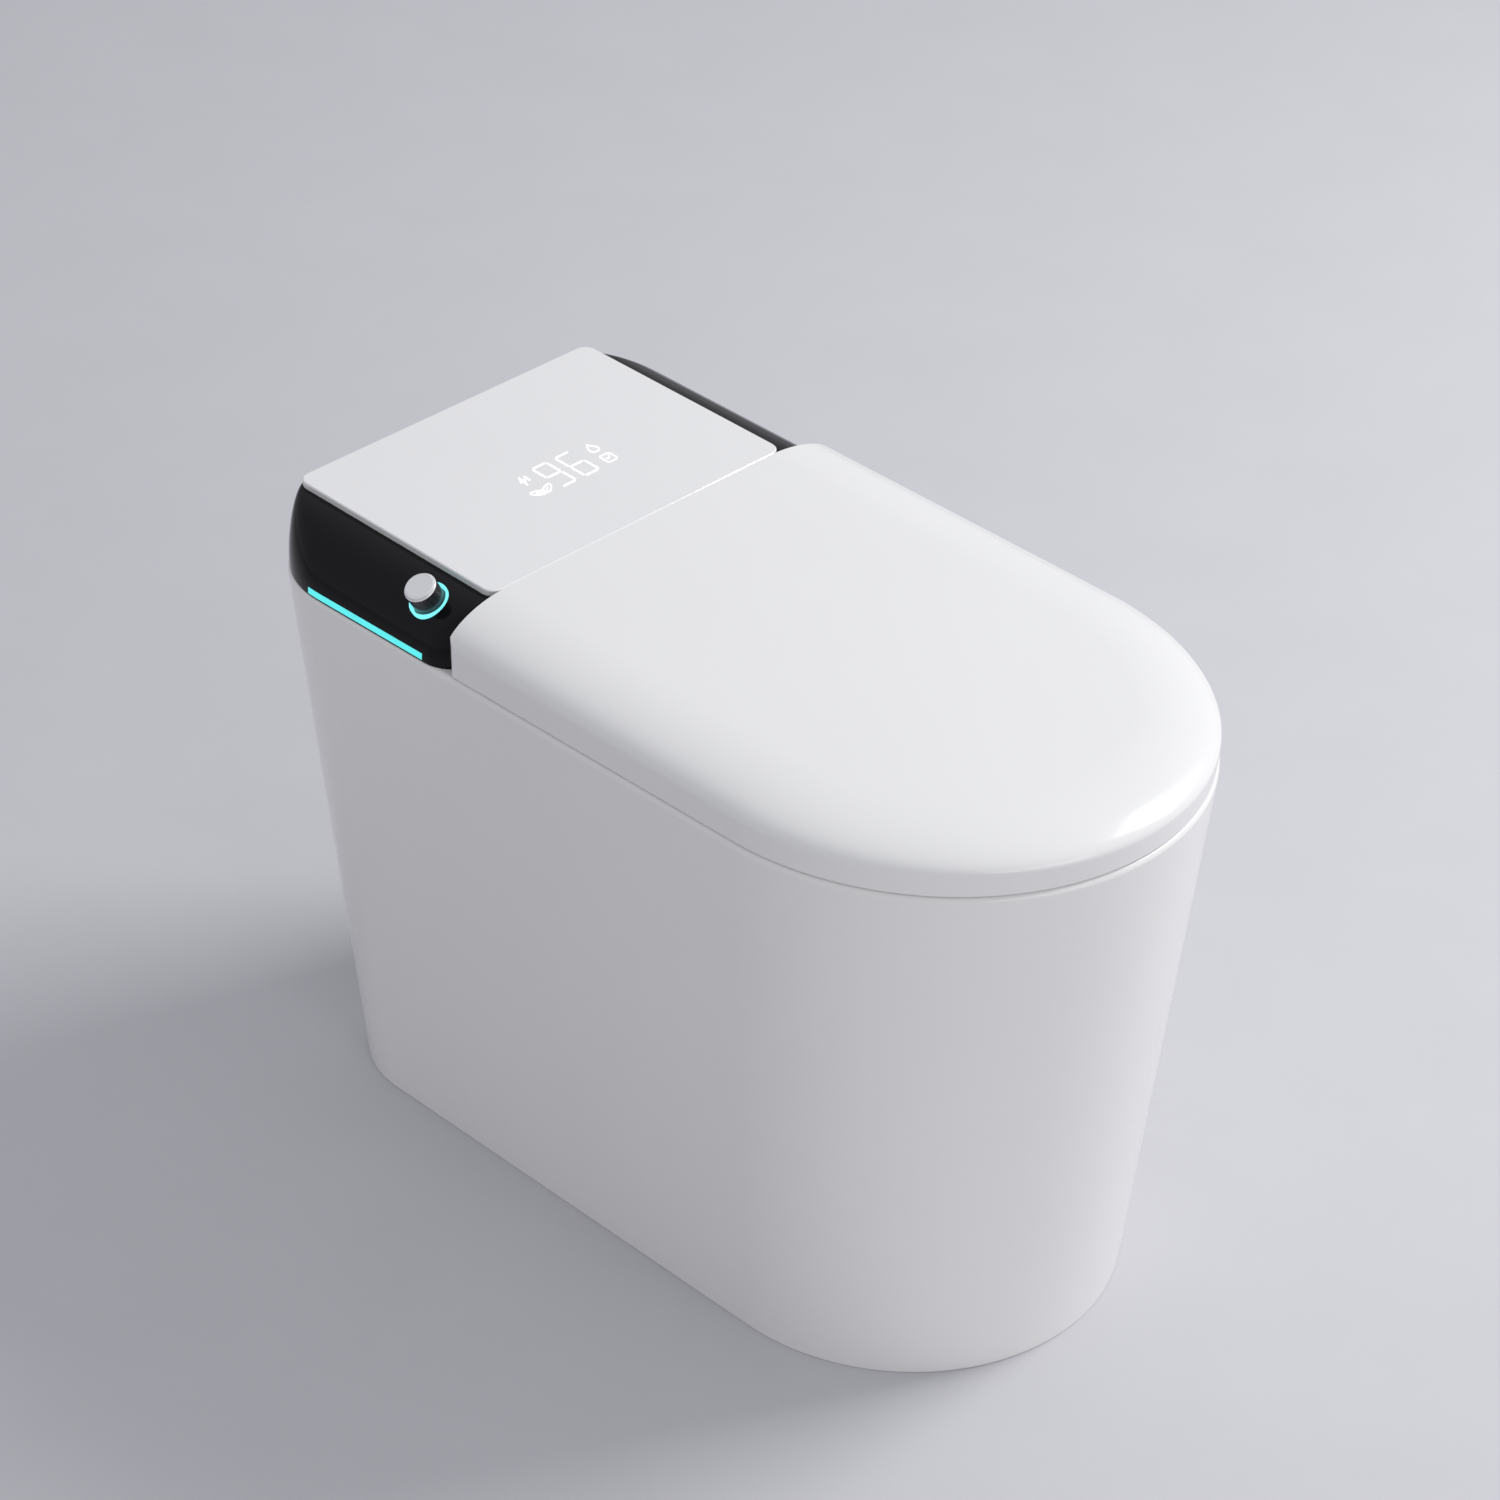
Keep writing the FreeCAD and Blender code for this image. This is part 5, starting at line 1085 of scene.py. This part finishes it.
def make_knob():
    """The ring light, the turned grip with a bright rim, and the press cap."""
    ring = turn_piece(lathe("ring_light", RING_SECTION, KNOB_STEPS, loop=True), knob_matrix())
    dress(ring, "toilet", CYAN_RING, ["knob_light_ring"])

    top = KNOB_FOOT + KNOB_HEIGHT
    grip = lathe("knob_grip", grip_section(top), KNOB_STEPS)
    bright = []
    for face in grip.data.polygons:
        if len(face.vertices) == 4 and top - BRIGHT_RIM < face.center.z / METRE:
            bright.append(face.index)
    turn_piece(grip, knob_matrix())
    dress(grip, "knob", DARK_METAL, ["knob_body"], sharp=40.0)
    grip.data.materials.append(SILVER)
    for index in bright:
        grip.data.polygons[index].material_index = 1

    cap = lathe("knob_button_cap", cap_section(top + CAP_PROUD), KNOB_STEPS)
    turn_piece(cap, knob_matrix())
    dress(cap, "knob_button", SILVER, ["knob_cap"], sharp=24.0)


# seat ---------------------------------------------------------------------------------


def seat_ring(outer_inset, hole_grow, share, z):
    """One ring of the seat's section: share 0 is its outer edge and 1 is the edge of its hole."""
    half = SEAT_HIGH.x
    nose = -SEAT_LOW.y + NOSE_START
    outer = plan(half - outer_inset, nose - outer_inset, NOSE_START, SEAT_HIGH.y - outer_inset,
                 SEAT_CORNER - outer_inset)
    points = []
    for point in outer:
        angle = math.atan2((point.y - HOLE_MIDDLE) / HOLE_LENGTH, point.x / HOLE_HALF)
        inner = Vector(((HOLE_HALF + hole_grow) * math.cos(angle),
                        HOLE_MIDDLE + (HOLE_LENGTH + hole_grow) * math.sin(angle), 0))
        spot = point.lerp(inner, share)
        points.append(Vector((spot.x, spot.y, z)))
    return points


def seat_section(low, high, top_round, bottom_round, dish=0.0):
    """Rings round the section: up the outside, over the top and down the hole's side."""
    rings = [seat_ring(bottom_round, bottom_round, 0.0, low)]
    for angle in quarter(BOTTOM_ROUND_STEPS)[1:] if bottom_round else []:
        pull = bottom_round * (1 - math.sin(angle))
        rings.append(seat_ring(pull, pull, 0.0, low + bottom_round * (1 - math.cos(angle))))
    for angle in quarter(TOP_ROUND_STEPS) if top_round else [0.0]:
        pull = top_round * (1 - math.cos(angle))
        rings.append(seat_ring(pull, pull, 0.0, high - top_round * (1 - math.sin(angle))))
    for step in range(1, SEAT_STEPS):
        share = step / SEAT_STEPS
        level = high - dish * math.sin(math.pi * share) ** 2
        rings.append(seat_ring(top_round, top_round, share, level))
    for angle in reversed(quarter(TOP_ROUND_STEPS)) if top_round else [0.0]:
        pull = top_round * (1 - math.cos(angle))
        rings.append(seat_ring(pull, pull, 1.0, high - top_round * (1 - math.sin(angle))))
    for angle in reversed(quarter(BOTTOM_ROUND_STEPS)[1:]) if bottom_round else []:
        pull = bottom_round * (1 - math.sin(angle))
        rings.append(seat_ring(pull, pull, 1.0, low + bottom_round * (1 - math.cos(angle))))
    rings.append(seat_ring(bottom_round, bottom_round, 1.0, low))
    return rings


def make_seat():
    """The heated seat's cover and its underside with beds for the arms."""
    section = seat_section(SEAT_LOW.z, SEAT_HIGH.z, SEAT_ROUND, 0.0, SEAT_DISH)
    top = loft("seat_cover", section, loop=True)
    dress(top, "seat", SHELL, ["seat_top_shell"], sharp=40.0)
    pan = loft("seat_underside", seat_section(PAN_LOW.z, PAN_HIGH.z, 0.0, PAN_ROUND), loop=True)
    levels = (PAN_LOW.z - 1, PAN_LOW.z + ARM_BED_DEPTH)
    carve(pan, [block("arm_bed", sides, ARM_BED_LINE, levels) for sides in ARM_BEDS])
    dress(pan, "seat", LINER, ["seat_base_pan"], sharp=35.0, bevel=0.3)


def make_bumpers():
    """Soft feet, turned with a rounded edge."""
    for node, name, body in (("lid_bumpers", "lid_feet", "lid"), ("seat_bumpers", "seat_feet", "seat")):
        low, high = span(node)
        feet = []
        for x in (low.x + FOOT_RADIUS, high.x - FOOT_RADIUS):
            for y in (low.y + FOOT_RADIUS, high.y - FOOT_RADIUS):
                top = panel_height(y) - LID_WALL - LID_FOOT_BED if body == "lid" else high.z
                profile = [(radius, low.z + rise) for radius, rise in FOOT_SECTION] + [(FOOT_RADIUS, top)]
                foot = lathe("foot", profile, FOOT_STEPS)
                feet.append(turn_piece(foot, Matrix.Translation((x, y, 0))))
        dress(join(name, feet), body, RUBBER, [node], sharp=50.0)


# pieces kept from the frame -----------------------------------------------------------


def finish_nodes():
    """Every node that stays in view gets its slot's material, welded seams and clean shading."""
    slots = {part["node"]: part["material_slot"] for part in frame["record"]["subparts"]}
    for name, item in frame["nodes"].items():
        if item.hide_render:
            continue
        item.data.materials.clear()
        item.data.materials.append(SLOT_FINISH[slots[name]])
        weld = item.modifiers.new("weld", "WELD")
        weld.merge_threshold = 0.001 * METRE
        soften(item, 30.0, 0.0)


# scene --------------------------------------------------------------------------------

FLOOR_LEVEL = -0.05
FLOOR_HALF = 20000.0
FLOOR_BOTTOM = -20.0
FLOOR_COLOUR = (0.615, 0.61, 0.64)
CAMERA_PLACE = Vector((-1744.787, -1738.920, 2020.244))
CAMERA_RIGHT = Vector((0.7099765, -0.7042254, 0.0))
CAMERA_UP = Vector((0.3947755, 0.3979994, 0.8280995))
CAMERA_LENS = 101.69
SENSOR = 36.0
NEAR_CLIP = 0.05
FAR_CLIP = 100.0
AIM = (0.0, 0.0, 0.3)
# place, width, height and power
KEY = ((2.6, -1.2, 2.9), 1.6, 1.6, 92.0)
FRONT_FILL = ((-0.6, -3.4, 1.6), 2.4, 1.6, 17.0)
SKY_COLOUR = (0.93, 0.94, 1.0, 1)
SKY_STRENGTH = 0.56


def make_camera():
    data = bpy.data.cameras.new("camera")
    data.lens = CAMERA_LENS
    data.sensor_width = SENSOR
    data.clip_start = NEAR_CLIP
    data.clip_end = FAR_CLIP
    camera = bpy.data.objects.new("camera", data)
    back = CAMERA_RIGHT.cross(CAMERA_UP)
    turn = Matrix((CAMERA_RIGHT, CAMERA_UP, back)).transposed().to_4x4()
    camera.matrix_world = Matrix.Translation(CAMERA_PLACE * METRE) @ turn
    bpy.context.scene.collection.objects.link(camera)
    bpy.context.scene.camera = camera


def make_floor():
    side = (-FLOOR_HALF, FLOOR_HALF)
    floor = block("floor", side, side, (FLOOR_BOTTOM, FLOOR_LEVEL))
    floor.data.materials.append(surface("plain_floor", FLOOR_COLOUR, 0.75, spread=0.01, grain=60, level=0.2))


def area_light(name, place, width, height, power):
    """A rectangular lamp that looks at the part's middle."""
    data = bpy.data.lights.new(name, "AREA")
    data.shape = "RECTANGLE"
    data.size = width
    data.size_y = height
    data.energy = power
    lamp = bpy.data.objects.new(name, data)
    lamp.location = place
    lamp.rotation_mode = "QUATERNION"
    lamp.rotation_quaternion = (Vector(AIM) - Vector(place)).to_track_quat("-Z", "Y")
    bpy.context.scene.collection.objects.link(lamp)


def make_lights():
    area_light("key", *KEY)
    area_light("front_fill", *FRONT_FILL)
    world = bpy.data.worlds.new("studio")
    world.use_nodes = True
    sky = world.node_tree.nodes["Background"]
    sky.inputs["Color"].default_value = SKY_COLOUR
    sky.inputs["Strength"].default_value = SKY_STRENGTH
    bpy.context.scene.world = world
    bpy.context.scene.view_settings.view_transform = "Standard"


make_ceramic()
make_lid()
make_liner()
make_housing()
make_panel()
make_digits()
make_symbols()
make_knob()
make_seat()
make_bumpers()
finish_nodes()
make_floor()
make_lights()
make_camera()
